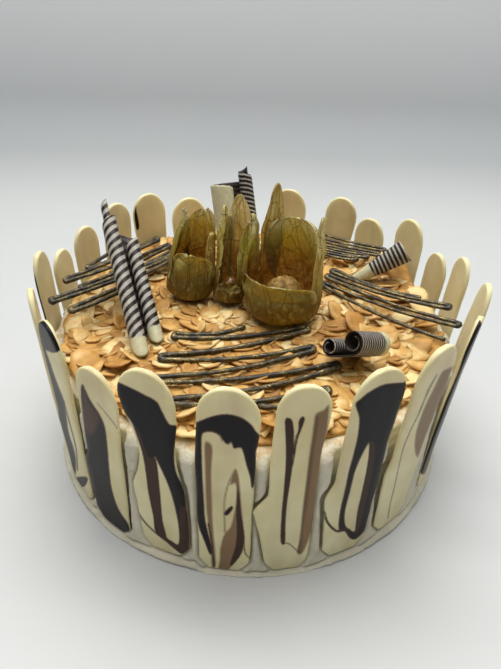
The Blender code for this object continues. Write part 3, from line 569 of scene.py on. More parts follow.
def tongue_material():
    g = Graph("Marbled chocolate", Roughness=0.38, Specular_IOR_Level=0.14)
    fine, broad = g.noise(900.0, 3.0), g.noise(45.0, 3.0)
    cloud = g.noise(60.0, 2.0, (1.0, 1.0, 0.25))
    ivory = g.mix(g.span(broad, 0.35, 0.68), (0.72, 0.64, 0.36), (0.82, 0.75, 0.47))
    ivory = g.mix(g.span(cloud, 0.50, 0.72, 0.0, 0.45), ivory, (0.52, 0.42, 0.26))

    def lies(kind, low, high):
        wobble = g.span(fine, 0.3, 0.7, -0.08, 0.08)
        return g.span(g.maths("ADD", g.attribute(kind), wobble), low, high)

    colour = g.mix(lies("tan", -0.5, 0.5), ivory, (0.26, 0.165, 0.085))
    colour = g.mix(lies("black", -0.55, 0.05), colour, (0.10, 0.055, 0.035))
    colour = g.mix(lies("black", -0.05, 0.45), colour, (0.011, 0.009, 0.010))
    colour = g.mix(lies("soft", -0.6, 1.6), colour, (0.085, 0.045, 0.028))
    colour = g.mix(lies("brown", -0.25, 0.35), colour, (0.050, 0.024, 0.016))
    g.put("Base Color", colour)
    g.glow_through(0.30, 0.005, 0.0036, 0.0016)
    g.bump(g.mix(0.25, g.noise(130.0, 3.0), fine), 0.0003, 0.6)
    return g.material


# Cream-coated cake

def ledge_height(azimuth, samples):
    return np.interp(azimuth, [s[0] for s in samples], [s[1] for s in samples],
                     period=2.0 * math.pi)


def tongue_gap(azimuth, z):
    """Distance along the side to the nearest tongue's edge, negative behind a tongue."""
    nearest = 1.0
    for spec in TONGUES:
        turn = (azimuth - math.radians(spec[0]) + math.pi) % (2.0 * math.pi) - math.pi
        if abs(turn) < 0.22:
            tip, width, roll, foot = spec[1], spec[2], math.radians(spec[4]), spec[5]
            length = tip - foot
            share = min(1.0, max(0.0, (z - foot) / length))
            left, right = tongue_sides(share, width, length, *spec[6:])
            across = turn * TONGUE_BACK + (share - 0.5) * length * math.sin(roll)
            nearest = min(nearest, max(left - across, across - right))
    return nearest


def cream_object():
    samples = []
    specs = sorted((math.radians(t[0]), t[2], t[5]) for t in TONGUES)
    for number, (azimuth, width, foot) in enumerate(specs):
        aside = 0.43 * width / TONGUE_BACK
        following = specs[(number + 1) % len(specs)][0]
        if following < azimuth:
            following += 2.0 * math.pi
        under = max(0.0007, foot - LEDGE_DROP)
        samples += [(azimuth - aside, under), (azimuth + aside, under),
                    (0.5 * (azimuth + following), foot + 0.5 * LEDGE_DROP)]
    samples = sorted((s[0] % (2.0 * math.pi), s[1]) for s in samples)
    rows = []
    for azimuth in np.linspace(0.0, 2.0 * math.pi, CREAM_COLUMNS, endpoint=False):
        ledge = float(ledge_height(azimuth, samples))
        levels = ([(FOOT_RADIUS - 0.0030, 0.0), (FOOT_RADIUS - 0.0008, 0.12 * ledge)]
                  + [(FOOT_RADIUS - 0.0022 * abs(2.0 * s - 0.8) ** 2.5, s * ledge)
                     for s in (0.25, 0.4, 0.55, 0.7, 0.85, 0.96)]
                  + [(CREAM_RADIUS + 0.0050 * (1.0 - s) ** 2, ledge + 0.004 * s + 0.0002)
                     for s in (0.3, 0.6, 1.0)])
        for z in np.linspace(ledge + 0.007, CREAM_HEIGHT - 0.0022, CREAM_ROWS):
            levels.append((CREAM_RADIUS, z))
        levels += [(CREAM_RADIUS - 0.0008, CREAM_HEIGHT - 0.0010),
                   (CREAM_RIM_RADIUS, CREAM_HEIGHT), (CREAM_RIM_RADIUS - 0.004, CREAM_HEIGHT)]
        column = []
        for radius, z in levels:
            x, y = 22.0 * azimuth, 160.0 * z
            lumps = 0.6 * MM * wave(x * 0.55, y * 0.4, 1.0) + 0.4 * MM * wave(x * 2.2, y * 2.0, 5.0)
            pit = max(0.0, wave(x * 3.1, y * 2.6, 9.0) - 0.26) * 4.2 * MM \
                * max(0.0, 0.45 + wave(x * 0.8, y * 0.8, 30.0))
            crack = max(0.0, 0.10 - abs(wave(x * 0.9, y * 0.35, 60.0))) * 9.0 * MM \
                * max(0.0, wave(x * 0.7, y * 0.5, 80.0))
            if z > ledge + 0.001:
                between = smooth_step(-0.0012, 0.0016, tongue_gap(azimuth, z))
                between *= smooth_step(CREAM_HEIGHT, CREAM_HEIGHT - 0.006, z)
                radius += GAP_FILL * between + 0.0006
                furthest = TONGUE_BACK - 0.0004 + GAP_LIMIT * between
                radius = min(radius + lumps - pit - crack, furthest)
            elif z > 0.0:
                radius += lumps - pit
            column.append((radius * math.cos(azimuth), radius * math.sin(azimuth), z))
        rows.append(column)
    levels = len(rows[0])
    points = [p for k in range(levels) for p in (rows[i][k] for i in range(CREAM_COLUMNS))]
    faces = tube_faces(levels, CREAM_COLUMNS)
    g = Graph("Whipped cream", Roughness=0.55, Specular_IOR_Level=0.3)
    blotch = g.noise(70.0, 4.0)
    colour = g.mix(g.span(blotch, 0.35, 0.7), (0.60, 0.56, 0.43), (0.73, 0.68, 0.53))
    height = g.node("ShaderNodeSeparateXYZ", {0: g.place}).outputs[2]
    crumb = g.noise(330.0, 4.0)
    near_top = g.maths("ADD", g.span(height, 0.0725, 0.0785), g.span(crumb, 0.3, 0.7, -0.4, 0.4))
    colour = g.mix(g.span(near_top, 0.60, 1.10, 0.0, 0.8), colour, (0.50, 0.33, 0.14))
    g.put("Base Color", colour)
    g.glow_through(0.10, 0.006, 0.004, 0.002)
    g.bump(g.mix(0.35, g.noise(240.0, 4.0), g.noise(900.0, 3.0)), 0.0010, 0.8)
    mesh_object("cream_coat", points, faces, g.material, ("cake_body",), "cream")


# Zigzags of gilded chocolate

def zigzag_path(spec):
    turns = [Vector(t) for t in spec["turns"]]
    advance = Vector(spec["advance"]).normalized()
    points, weight = [], []
    for number in range(len(turns) - 1):
        start, end = turns[number], turns[number + 1]
        stroke = (end - start).normalized()
        begin = start + (advance * STROKE_BEND if number else Vector((0.0, 0.0)))
        last = number == len(turns) - 2
        finish = end - (Vector((0.0, 0.0)) if last else advance * STROKE_BEND)
        for share in (0.02, 0.34, 0.67, 0.98):
            bow = spec["sag"] * 4.0 * share * (1.0 - share)
            points.append(begin.lerp(finish, share) + Vector((0.0, -bow)))
            weight.append(0.0 if 0.1 < share < 0.9 else 0.55)
        if not last:
            for angle in (-45.0, 0.0, 45.0):
                turn = math.radians(angle)
                points.append(end + advance * (STROKE_BEND * math.sin(turn))
                              + stroke * (STROKE_BEND * math.cos(turn)))
                weight.append(1.0)
    slope = Vector(spec["slope"])
    return np.array([(p.x, p.y, spec["height"] + slope.dot(p), w)
                     for p, w in zip(points, weight)])


def zigzag_object(number, name, spec, material):
    line = rounded(zigzag_path(spec), False, 10)
    run = np.concatenate(([0.0], np.cumsum(np.linalg.norm(np.diff(line[:, :3], axis=0), axis=1))))
    steps = np.linspace(0.0, run[-1], int(run[-1] / 0.0009))
    line = np.stack([np.interp(steps, run, line[:, k]) for k in range(4)], -1)
    sides = 10
    points, top = [], []
    for i, (x, y, z, blob) in enumerate(line):
        ahead = line[min(len(line) - 1, i + 1), :3] - line[max(0, i - 1), :3]
        ahead /= np.linalg.norm(ahead)
        aside = np.cross(ahead, (0.0, 0.0, 1.0))
        aside /= np.linalg.norm(aside)
        above = np.cross(aside, ahead)
        thick = STROKE_RADIUS * (spec["thick"] + BLOB_SWELL * blob ** 2
                                 + 0.18 * wave(steps[i] * 160.0, number, 0.5))
        ends = min(1.0, (i + 0.6) / 2.0, (len(line) - i - 0.4) / 2.0)
        sway = 0.35 * MM * wave(steps[i] * 60.0, number, 4.0)
        for k in range(sides):
            turn = 2.0 * math.pi * k / sides
            rough = 1.0 + 0.13 * wave(steps[i] * 600.0, 2.0 * math.cos(turn), 2.0 * math.sin(turn))
            reach = thick * rough * math.sqrt(ends)
            points.append(np.array((x, y, z)) + aside * (sway + reach * math.cos(turn))
                          + above * (0.9 * reach * math.sin(turn)))
            top.append(math.sin(turn))
    faces = tube_faces(len(line), sides)
    mesh_object(f"gilded_{name}", points, faces, material, (name,), "gilded_chocolate", upper=top)


def gilded_material():
    g = Graph("Gilded chocolate", Roughness=0.32)
    dust = g.noise(2600.0, 2.0)
    patch = g.noise(170.0, 3.0)
    gold = g.maths("MULTIPLY", g.span(dust, 0.53, 0.60), g.span(patch, 0.42, 0.60, 0.05, 1.0))
    gold = g.maths("MULTIPLY", gold, g.span(g.attribute("upper"), -0.7, 0.5, 0.2, 1.0))
    g.put("Base Color", g.mix(gold, (0.012, 0.009, 0.006), (0.62, 0.47, 0.17)))
    g.put("Metallic", g.span(gold, 0.0, 1.0, 0.05, 0.85))
    g.bump(dust, 0.0004, 0.6)
    return g.material


# Rolled sheets

def scroll_line(left, right, turns, step):
    def half(radius, side):
        points, heading = [Vector((side * (radius + SHEET_THICKNESS), 0.0))], 0.0
        count = int(turns * 2.0 * math.pi / step)
        for number in range(count):
            bend = radius * (1.0 - 0.55 * number / count)
            heading += step
            stride = 2.0 * bend * math.sin(0.5 * step)
            turned = heading - 0.5 * step
            points.append(points[-1] + Vector((side * stride * math.cos(turned),
                                               stride * math.sin(turned))))
        return points

    line = half(right, 1.0)
    middle = Vector((right + SHEET_THICKNESS, right))
    if left:
        line = list(reversed(half(left, -1.0))) + line
        middle = Vector((right - left, 0.5 * (left + right)))
    line = [p - middle for p in line]
    normals = []
    for i in range(len(line)):
        run = (line[min(len(line) - 1, i + 1)] - line[max(0, i - 1)]).normalized()
        normals.append(Vector((-run.y, run.x)))
    return line, normals


def roll_object(number, name, spec, material):
    foot, tip, left, right, turns, spin, widen, left_more, right_more, level = spec
    foot, tip = Vector(foot), Vector(tip)
    axis = (tip - foot).normalized()
    length = (tip - foot).length
    aside = axis.cross(Vector((0.0, 0.0, 1.0))).normalized()
    aside = Matrix.Rotation(math.radians(spin), 3, axis) @ aside
    above = axis.cross(aside)
    line, normals = scroll_line(left, right, turns, math.radians(11.0))
    period, dark, climb, first_plain, second_plain = STRIPES[name]
    rows = 64
    points, stripe, inner, bare = [], [], [], []
    arc = 0.0
    for i, (p, normal) in enumerate(zip(line, normals)):
        arc += (p - line[max(0, i - 1)]).length / MM
        share = i / (len(line) - 1)
        more = left_more + (right_more - left_more) * share
        ring = []
        for side in (0.5, -0.5):
            for row in range(rows) if side > 0.0 else range(rows - 1, -1, -1):
                up = row / (rows - 1)
                flat = p * (1.0 + (widen - 1.0) * up)
                flat = flat + normal * (side * SHEET_THICKNESS * (0.9 if 0 < row < rows - 1 else 0.4))
                start = 0.0
                corner = foot + aside * flat.x + above * flat.y
                if level:
                    flat_foot = p + normal * (side * SHEET_THICKNESS)
                    start = (foot.z - (foot + aside * flat_foot.x + above * flat_foot.y).z) / axis.z
                ragged = 0.5 * MM * wave(arc * 0.5, number, 2.0) * up
                along = start + (length + more + ragged - start) * up
                ring.append(corner + axis * along)
                across = climb * arc + 0.5 * wave(along * 90.0, arc * 0.12, number)
                phase = ((along / MM + across) / period) % 1.0
                lies = (0.5 * dark - abs(phase - 0.5)) * period
                foot_end = first_plain + (second_plain - first_plain) * smooth_step(0.46, 0.54, share)
                foot_end += 0.4 * wave(arc * 0.6, number, 5.0)
                stripe.append(min(lies, along / MM - foot_end))
                bare.append(smooth_step(1.5, -1.5, along / MM - foot_end))
                inner.append(1.0 if side > 0.0 else 0.0)
        points += ring
    faces = tube_faces(len(line), 2 * rows)
    mesh_object(f"striped_{name}", points, faces, material, (name,), "striped_chocolate",
                stripe=stripe, inner=inner, plain=bare)


def striped_material():
    g = Graph("Striped chocolate", Roughness=0.38, Specular_IOR_Level=0.25)
    cloud = g.noise(350.0, 2.0)
    ivory = g.mix(g.span(cloud, 0.35, 0.7), (0.34, 0.315, 0.275), (0.46, 0.43, 0.37))
    foot = g.mix(g.span(cloud, 0.35, 0.7), (0.50, 0.47, 0.30), (0.60, 0.56, 0.36))
    ivory = g.mix(g.attribute("plain"), ivory, foot)
    wobble = g.span(g.noise(1300.0, 2.0), 0.3, 0.7, -0.10, 0.10)
    lies = g.span(g.maths("ADD", g.attribute("stripe"), wobble), -0.18, 0.18)
    colour = g.mix(lies, ivory, (0.020, 0.012, 0.010))
    g.put("Base Color", g.mix(g.maths("MULTIPLY", g.attribute("inner"), 0.85), colour,
                              (0.018, 0.010, 0.009)))
    g.bump(cloud, 0.0002, 0.5)
    return g.material


# Dried physalis

def heap_height(x, y):
    r = math.hypot(x, y)
    dome = HEAP_DOME * (1.0 - min(1.0, r / HEAP_RADIUS) ** 2)
    rear = HEAP_REAR_RISE * y / HEAP_RADIUS
    bumps = 0.0009 * wave(x * 90.0, y * 90.0, 0.0)
    return HEAP_EDGE_HEIGHT + dome + rear + bumps


def husk_point(radius, length, tip_radius, share):
    rim = HUSK_RIM * radius
    if share <= HUSK_BOWL:
        angle = 0.5 * math.pi * share / HUSK_BOWL
        return radius * math.sin(angle) ** HUSK_FULL, rim * (1.0 - math.cos(angle))
    along = (share - HUSK_BOWL) / (1.0 - HUSK_BOWL)
    drawn = tip_radius + (radius - tip_radius) * max(0.0, math.cos(0.5 * math.pi * along)) ** 0.9
    return drawn, rim + (length - rim) * along


def husk_object(number, name, spec, husk_material, berry_material):
    base, tilt, direction, radius, berry, lobes = spec
    columns, rows = 25, 56
    points, faces, rib, tone, edge, tint, inside = [], [], [], [], [], [], []
    for lobe, (azimuth, half_width, length, tip_radius, fullness, skew) in enumerate(lobes):
        first = len(points)
        hue, torn = HUSK_TINTS[name][lobe]
        seed = 11.0 * number + 3.7 * lobe
        for face in (1.0, -1.0):
            for row in range(rows):
                share = 0.01 + 0.985 * row / (rows - 1)
                along = max(0.0, (share - HUSK_BOWL) / (1.0 - HUSK_BOWL))
                full = (1.0 - min(1.0, along) ** (HUSK_BREADTH * fullness)) ** 0.62
                r0, z0 = husk_point(radius, length, tip_radius, share)
                rise = smooth_step(0.0, 0.35, along)
                for k in range(columns):
                    column = 2.0 * k / (columns - 1) - 1.0
                    ragged = 1.0 + 0.22 * torn * rise * wave(share * 11.0, (column > 0) * 5.0, seed)
                    ragged -= 0.30 * torn * rise * max(0.0, wave(share * 24.0, (column > 0) * 9.0, seed))
                    spread = half_width * full * ragged * (1.0 + HUSK_SPREAD * rise)
                    turn = math.radians(azimuth + skew * along + column * spread)
                    wide = 1.0 - column * column
                    ripple = 0.8 * MM * wave(2.3 * math.cos(turn), 2.3 * math.sin(turn) + number,
                                             share * 5.0)
                    ripple += rise * 2.8 * MM * wave(column * 1.3, share * 2.6, seed)
                    ripple += rise * 1.2 * MM * wave(column * 3.5, share * 7.0, seed)
                    crease = 0.45 * MM * max(0.0, 1.0 - abs(column) / 0.12) * (1.0 - 0.4 * along)
                    seam = 0.40 * MM * max(0.0, 1.0 - (1.0 - abs(column)) / 0.10) * (along == 0.0)
                    curl = (0.6 + 1.6 * (1.0 - torn)) * MM \
                        * smooth_step(0.80, 1.0, max(abs(column), along)) * rise
                    relief = (ripple + crease - seam) * min(1.0, share * 6.0)
                    r = r0 + 0.04 * radius * wide + relief + curl
                    dip = 2.4 * MM * torn * smooth_step(0.55, 1.0, along) \
                        * max(0.0, wave(column * 3.0, 2.0, seed))
                    r += face * 0.5 * HUSK_THICKNESS * (0.5 if abs(column) < 0.99 else 0.12)
                    points.append((r * math.cos(turn), r * math.sin(turn), z0 - dip))
                    rib.append(abs((column * 2.0 + 0.5) % 1.0 - 0.5) * full * half_width / 36.0)
                    tone.append(min(1.0, z0 / HUSK_PALE_HEIGHT))
                    edge.append(max(abs(column), smooth_step(0.9, 1.0, along)) * min(1.0, along * 4.0))
                    tint.append(hue * (0.35 + 0.65 * rise))
                    inside.append(1.0 if face < 0.0 else 0.0)
        faces += sheet_faces(rows, columns, first)
    points = np.array(points)
    turn = Matrix.Rotation(math.radians(tilt), 4, Vector((-math.sin(math.radians(direction)),
                                                          math.cos(math.radians(direction)), 0.0)))
    points = points @ np.array(turn)[:3, :3].T
    points += np.array((base[0], base[1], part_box(name)[0].z + 0.3 * MM - points[:, 2].min()))
    mesh_object(f"papery_{name}", points, faces, husk_material, (name,), "dry_husk",
                rib=rib, tone=tone, edge=edge, tint=tint, inside=inside)

    if name == "husk_right":
        membrane_object(name, berry, husk_material)

    shape = bmesh.new()
    bmesh.ops.create_uvsphere(shape, u_segments=36, v_segments=24, radius=berry * 0.99)
    for v in shape.verts:
        v.co *= 1.0 + 0.012 * wave(v.co.x * 150.0, v.co.y * 150.0, v.co.z * 150.0)
    mesh = bpy.data.meshes.new(name)
    shape.to_mesh(mesh)
    shape.free()
    spots = np.array([v.co for v in mesh.vertices])
    skin = [tuple(p.vertices) for p in mesh.polygons]
    bpy.data.meshes.remove(mesh)
    node = name.replace("husk", "berry")
    low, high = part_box(node)
    middle = np.array((low + high) * 0.5)
    # Painted shade: the left and middle berries are marked 0, which turns their skin dark brown.
    ripe = np.full(len(spots), 1.0 if name == "husk_right" else 0.0)
    mesh_object(f"round_{node}", spots + middle, skin, berry_material, (node,), "fruit", ripe=ripe)


def membrane_object(name, berry, material):
    """Brown torn skin that lies over the front and top of a husk's berry."""
    low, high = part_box(name.replace("husk", "berry"))
    middle = np.array((low + high) * 0.5)
    columns, rows = 44, 26
    points = []
    for face in (1.0, -1.0):
        for row in range(rows):
            up = row / (rows - 1)
            for k in range(columns):
                across = 2.0 * k / (columns - 1) - 1.0
                reach = 1.0 + 0.10 * wave(across * 4.0, up * 3.0, 21.0)
                azimuth = math.radians(MEMBRANE_MIDDLE + MEMBRANE_SPREAD * across * reach)
                torn = 42.0 * math.exp(-((across + 0.12) / 0.15) ** 2)
                bottom = 6.0 + torn + 5.0 * wave(across * 5.0, 3.0, 8.0)
                rise = math.radians(bottom + (89.5 - bottom) * up)
                r = berry * MEMBRANE_SIZE + 0.7 * MM * wave(across * 3.0, up * 3.0, 14.0)
                r += 0.35 * MM * wave(across * 11.0, up * 9.0, 2.0) + face * 0.18 * MM
                points.append((r * math.cos(rise) * math.cos(azimuth),
                               r * math.cos(rise) * math.sin(azimuth), r * math.sin(rise)))
    count = len(points)
    # Its tone and inside values give this skin the dark colours of the husk's painted bowl and inside
    # shade.
    mesh_object("membrane_husk_right", np.array(points) + middle, sheet_faces(rows, columns),
                material, (name,), "dry_husk", rib=np.ones(count), tone=np.full(count, 0.3),
                edge=np.zeros(count), tint=np.full(count, -0.6), inside=np.ones(count))


def husk_material():
    g = Graph("Dry husk", Roughness=0.52, Specular_IOR_Level=0.25)
    bent = g.node("ShaderNodeMapping", {"Vector": g.place, "Scale": (1.0, 1.0, 0.55)}).outputs[0]
    large = g.node("ShaderNodeTexVoronoi", {"Vector": bent, "Scale": 105.0},
                   feature="DISTANCE_TO_EDGE").outputs["Distance"]
    small = g.node("ShaderNodeTexVoronoi", {"Vector": bent, "Scale": 520.0},
                   feature="DISTANCE_TO_EDGE").outputs["Distance"]
    main_veins, net = g.span(large, 0.0, 0.045, 1.0, 0.0), g.span(small, 0.0, 0.10, 1.0, 0.0)
    ribs = g.span(g.attribute("rib"), 0.0, 0.055, 1.0, 0.0)
    cloud, mottle = g.noise(75.0, 3.0), g.noise(260.0, 3.0)
    tint = g.maths("ADD", g.attribute("tint"), g.span(cloud, 0.3, 0.7, -0.35, 0.35))
    colour = g.mix(g.span(tint, -0.9, 0.0), (0.560, 0.345, 0.110), (0.520, 0.425, 0.105))
    colour = g.mix(g.span(tint, 0.0, 0.9), colour, (0.400, 0.385, 0.085))
    # Painted shade: the husk turns near-black brown towards its bowl at the bottom.
    low = g.span(g.attribute("tone"), 0.26, 0.66, 0.90, 0.0)
    colour = g.mix(low, colour, (0.120, 0.070, 0.005))
    colour = g.mix(g.span(mottle, 0.5, 0.75, 0.0, 0.45), colour, (0.640, 0.510, 0.170))
    tips = g.maths("ADD", g.span(g.attribute("tone"), 0.76, 1.08), g.span(cloud, 0.3, 0.7, -0.3, 0.3))
    colour = g.mix(g.span(tips, 0.2, 1.1, 0.0, 0.9), colour, (0.80, 0.66, 0.36))
    colour = g.mix(g.span(g.attribute("edge"), 0.88, 1.0, 0.0, 0.7), colour, (0.72, 0.58, 0.27))
    colour = g.mix(g.maths("MULTIPLY", net, 0.22), colour, (0.105, 0.060, 0.008))
    colour = g.mix(g.maths("MULTIPLY", main_veins, 0.38), colour, (0.085, 0.050, 0.008))
    colour = g.mix(g.maths("MULTIPLY", ribs, 0.50), colour, (0.095, 0.058, 0.010))
    # Painted shade inside the bowl: low on its inner face the husk turns a mottled dark brown.
    shaded_inside_colour = g.mix(g.span(mottle, 0.35, 0.65), (0.150, 0.070, 0.010), (0.420, 0.250, 0.070))
    deep = g.span(g.attribute("tone"), 0.45, 0.80, 0.85, 0.0)
    inside_shade = g.maths("MULTIPLY", g.attribute("inside"), deep)
    g.put("Base Color", g.mix(inside_shade, colour, shaded_inside_colour))
    g.glow_through(0.30, 0.003, 0.002, 0.0006)
    height = g.maths("ADD", g.maths("MULTIPLY", net, 0.4), g.maths("ADD", main_veins, ribs))
    g.bump(g.maths("ADD", height, mottle), 0.0006, 0.8)
    return g.material


def berry_material():
    g = Graph("Berry skin", Roughness=0.22)
    cloud = g.noise(160.0, 2.0)
    skin = g.mix(g.span(cloud, 0.35, 0.65), (0.70, 0.25, 0.015), (0.85, 0.42, 0.03))
    # Painted shade: berries marked 0 get dark brown skin instead of orange.
    g.put("Base Color", g.mix(g.attribute("ripe"), (0.16, 0.065, 0.010), skin))
    g.bump(g.noise(1500.0, 2.0), 0.0001, 0.4)
    return g.material


# Almond flakes

# Flakes that stand out, in metres and degrees: place, yaw, pitch, bank, half length and half
# width, shade from pale to toasted, and whether it stands on its edge
NAMED_FLAKES = (
    (0.0700, -0.0530, 8.0, -6.0, 0.0, 0.0128, 0.0062, 0.02, False),
    (0.0850, -0.0520, 60.0, 0.0, 8.0, 0.0098, 0.0060, 0.78, False),
    (0.0780, -0.0650, 20.0, 0.0, 0.0, 0.0090, 0.0058, 0.72, False),
    (-0.0620, -0.0560, -22.0, 6.0, 10.0, 0.0130, 0.0062, 0.05, False),
    (-0.0860, -0.0430, 10.0, 4.0, -14.0, 0.0130, 0.0078, 0.55, False),
    (-0.0260, -0.0230, 35.0, 24.0, 10.0, 0.0105, 0.0055, 0.48, False),
    (-0.0450, -0.0220, 80.0, 4.0, 12.0, 0.0110, 0.0060, 0.52, False),
    (-0.0900, 0.0500, 60.0, 0.0, 62.0, 0.0110, 0.0075, 0.62, True),
    (0.0750, 0.0740, 20.0, 0.0, 60.0, 0.0100, 0.0070, 0.68, True),
    (0.1000, 0.0340, 75.0, 0.0, 64.0, 0.0105, 0.0072, 0.74, True),
    (0.0960, 0.0180, 60.0, 0.0, 52.0, 0.0100, 0.0065, 0.66, True),
    (0.0850, -0.0280, -30.0, 0.0, 34.0, 0.0100, 0.0060, 0.60, True),
)
# Height map under the flakes: size of a cell, and cells a side
CELL, GRID = 0.001, 232


def cell_of(value):
    return np.clip(((np.asarray(value) / CELL) + GRID // 2).astype(int), 0, GRID - 1)


def ceiling_map():
    """Height that no flake may pass, under the lines, rolls and husks."""
    top = np.full((GRID, GRID), 1.0)

    def lower(x, y, z, reach):
        span = np.arange(-int(reach / CELL) - 1, int(reach / CELL) + 2) * CELL
        for dx in span:
            for dy in span:
                if math.hypot(dx, dy) <= reach:
                    i, j = cell_of(x + dx), cell_of(y + dy)
                    top[i, j] = min(top[i, j], z)

    for spec in ZIGZAGS.values():
        line = rounded(zigzag_path(spec), False, 8)
        for x, y, z, _ in line:
            lower(x, y, z - 0.0008, 0.0016)
    for foot, tip, left, right, *_ in ROLLS.values():
        foot, tip = Vector(foot), Vector(tip)
        for share in np.linspace(0.0, 1.0, 20):
            p = foot.lerp(tip, share)
            if p.z < 0.112:
                lower(p.x, p.y, max(0.0872, p.z - 1.1 * max(left, right)), (left + right) + 0.001)
    for name, (base, _, _, radius, *_) in HUSKS.items():
        lower(base[0], base[1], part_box(name)[0].z + 0.0004, radius * 0.90)
        for turn in np.arange(0.0, 360.0, 6.0):
            a = math.radians(turn)
            lower(base[0] + radius * math.cos(a), base[1] + radius * math.sin(a),
                  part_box(name)[0].z + 0.0018, 0.0016)
    return top


def flake_shape(rng, long, wide, sides=12):
    """Outline and inner ring of one slice, pointed at one end, whole or broken."""
    cut = rng.uniform(-0.4, 0.6) if rng.random() < 0.38 else 2.0
    slant, bend = rng.uniform(-0.5, 0.5), rng.uniform(-0.08, 0.14)
    outline = []
    for k in range(sides):
        turn = 2.0 * math.pi * (k + 0.25 * rng.random()) / sides
        u = math.cos(turn)
        v = math.sin(turn) * (1.0 - 0.30 * u) * (1.0 + 0.07 * rng.uniform(-1, 1))
        limit = cut + slant * v
        if u > limit:
            u = limit + 0.06 * rng.uniform(-1, 1)
        outline.append((u * long, v * wide))
    middle = np.mean(outline, axis=0)
    inner = [tuple(middle + 0.62 * (np.array(p) - middle)) for p in outline]
    return outline + inner + [tuple(middle)], bend


def flakes_object(material, core_material):
    rng = random.Random(5)
    span = (np.arange(GRID) - GRID // 2) * CELL
    height = np.array([[heap_height(x, y) - 0.0004 for y in span] for x in span])
    bare = height.copy()
    ceiling = ceiling_map()
    points, faces, tone, rim = [], [], [], []
    sides = 12
    ring = []
    for k in range(sides):
        j = (k + 1) % sides
        ring += [(k, j, sides + j, sides + k), (sides + k, sides + j, 2 * sides)]
    count = 2 * sides + 1
    shell = ring + [tuple(count + i for i in f[::-1]) for f in ring]
    shell += [(k, count + k, count + (k + 1) % sides, (k + 1) % sides) for k in range(sides)]

    def lay(x, y, yaw, pitch, bank, long, wide, colour, standing=False, z=None):
        flat, bend = flake_shape(rng, long, wide)
        turn = Matrix.Rotation(yaw, 3, "Z") @ Matrix.Rotation(pitch, 3, "Y") \
            @ Matrix.Rotation(bank, 3, "X")
        spin = np.array(turn)
        local = np.array([(u, v, bend * long * (u / long) ** 2 + 0.2 * MM * wave(u * 300, v * 300, x))
                          for u, v in flat])
        upper = (local + np.array((0, 0, FLAKE_HALF_THICKNESS))) @ spin.T
        lower = (local - np.array((0, 0, FLAKE_HALF_THICKNESS))) @ spin.T
        place = upper[:, :2] + np.array((x, y))
        if np.hypot(place[:, 0], place[:, 1]).max() > HEAP_RADIUS + 0.0030:
            return False
        i, j = cell_of(place[:, 0]), cell_of(place[:, 1])
        if z is None:
            need = height[i, j] - lower[:, 2]
            z = float(np.quantile(need, 0.93 if standing else 0.72)) - 0.0002
            z = min(z, float(np.mean(bare[i, j])) + rng.uniform(0.0020, 0.0036)) \
                if not standing else float(np.min(bare[i, j] - lower[:, 2])) + 0.0010
        room = float((ceiling[i, j] - upper[:, 2]).min())
        if z > room:
            if standing or room < float(np.quantile(bare[i, j] - lower[:, 2], 0.5)) - 0.0004:
                return False
            z = room
        height[i, j] = np.maximum(height[i, j], np.minimum(upper[:, 2] + z, bare[i, j] + 0.004))
        first = len(points)
        points.extend((upper + np.array((x, y, z))).tolist())
        points.extend((lower + np.array((x, y, z))).tolist())
        faces.extend(tuple(first + i for i in f) for f in shell)
        tone.extend([colour] * (2 * count))
        rim.extend(([1.0] * sides + [0.0] * sides + [0.0]) * 2)
        return True

    made = 0
    for x, y, yaw, pitch, bank, long, wide, colour, standing in NAMED_FLAKES:
        made += lay(x, y, math.radians(yaw), math.radians(pitch), math.radians(bank), long, wide,
                    colour, standing)
    for _ in range(FLAKE_TRIES):
        if made >= FLAKE_COUNT:
            break
        radius = (HEAP_RADIUS - 0.002) * math.sqrt(rng.random())
        azimuth = rng.uniform(-math.pi, math.pi)
        x, y = radius * math.cos(azimuth), radius * math.sin(azimuth)
        long = rng.choice(FLAKE_HALF_LENGTHS) * rng.uniform(0.88, 1.08)
        wide = long * rng.uniform(0.50, 0.66)
        steep = rng.random() < STEEP_SHARE
        pitch = rng.gauss(0.0, 0.15) if not steep else rng.uniform(0.4, 0.8)
        bank = rng.gauss(0.0, 0.17)
        colour = min(1.0, max(0.0, rng.gauss(0.40, 0.17) + 0.25 * wave(x * 25.0, y * 25.0, 3.0)))
        colour = 0.04 if rng.random() < PALE_SHARE else colour
        made += lay(x, y, rng.uniform(0.0, 2.0 * math.pi), pitch, bank, long, wide, colour)
    mesh_object("almond_flakes", points, faces, material, ("almond_topping",), "almond",
                toast=tone, rim=rim)

    rings, around = 40, 150
    core = []
    for r in np.linspace(0.0004, HEAP_RADIUS - 0.0012, rings)[::-1]:
        for k in range(around):
            turn = 2.0 * math.pi * k / around
            x, y = r * math.cos(turn), r * math.sin(turn)
            core.append((x, y, heap_height(x, y) - 0.0004 + 0.0007 * wave(x * 350, y * 350, 1.0)))
    lip = [((HEAP_RADIUS - 0.0006) * math.cos(2.0 * math.pi * k / around),
            (HEAP_RADIUS - 0.0006) * math.sin(2.0 * math.pi * k / around), z)
           for z in (CREAM_HEIGHT + 0.0004, CREAM_HEIGHT + 0.0020) for k in range(around)]
    faces = tube_faces(rings + 2, around)
    mesh_object("almond_core", lip + core, faces, core_material, ("almond_topping",), "almond")
    print("flakes", made)


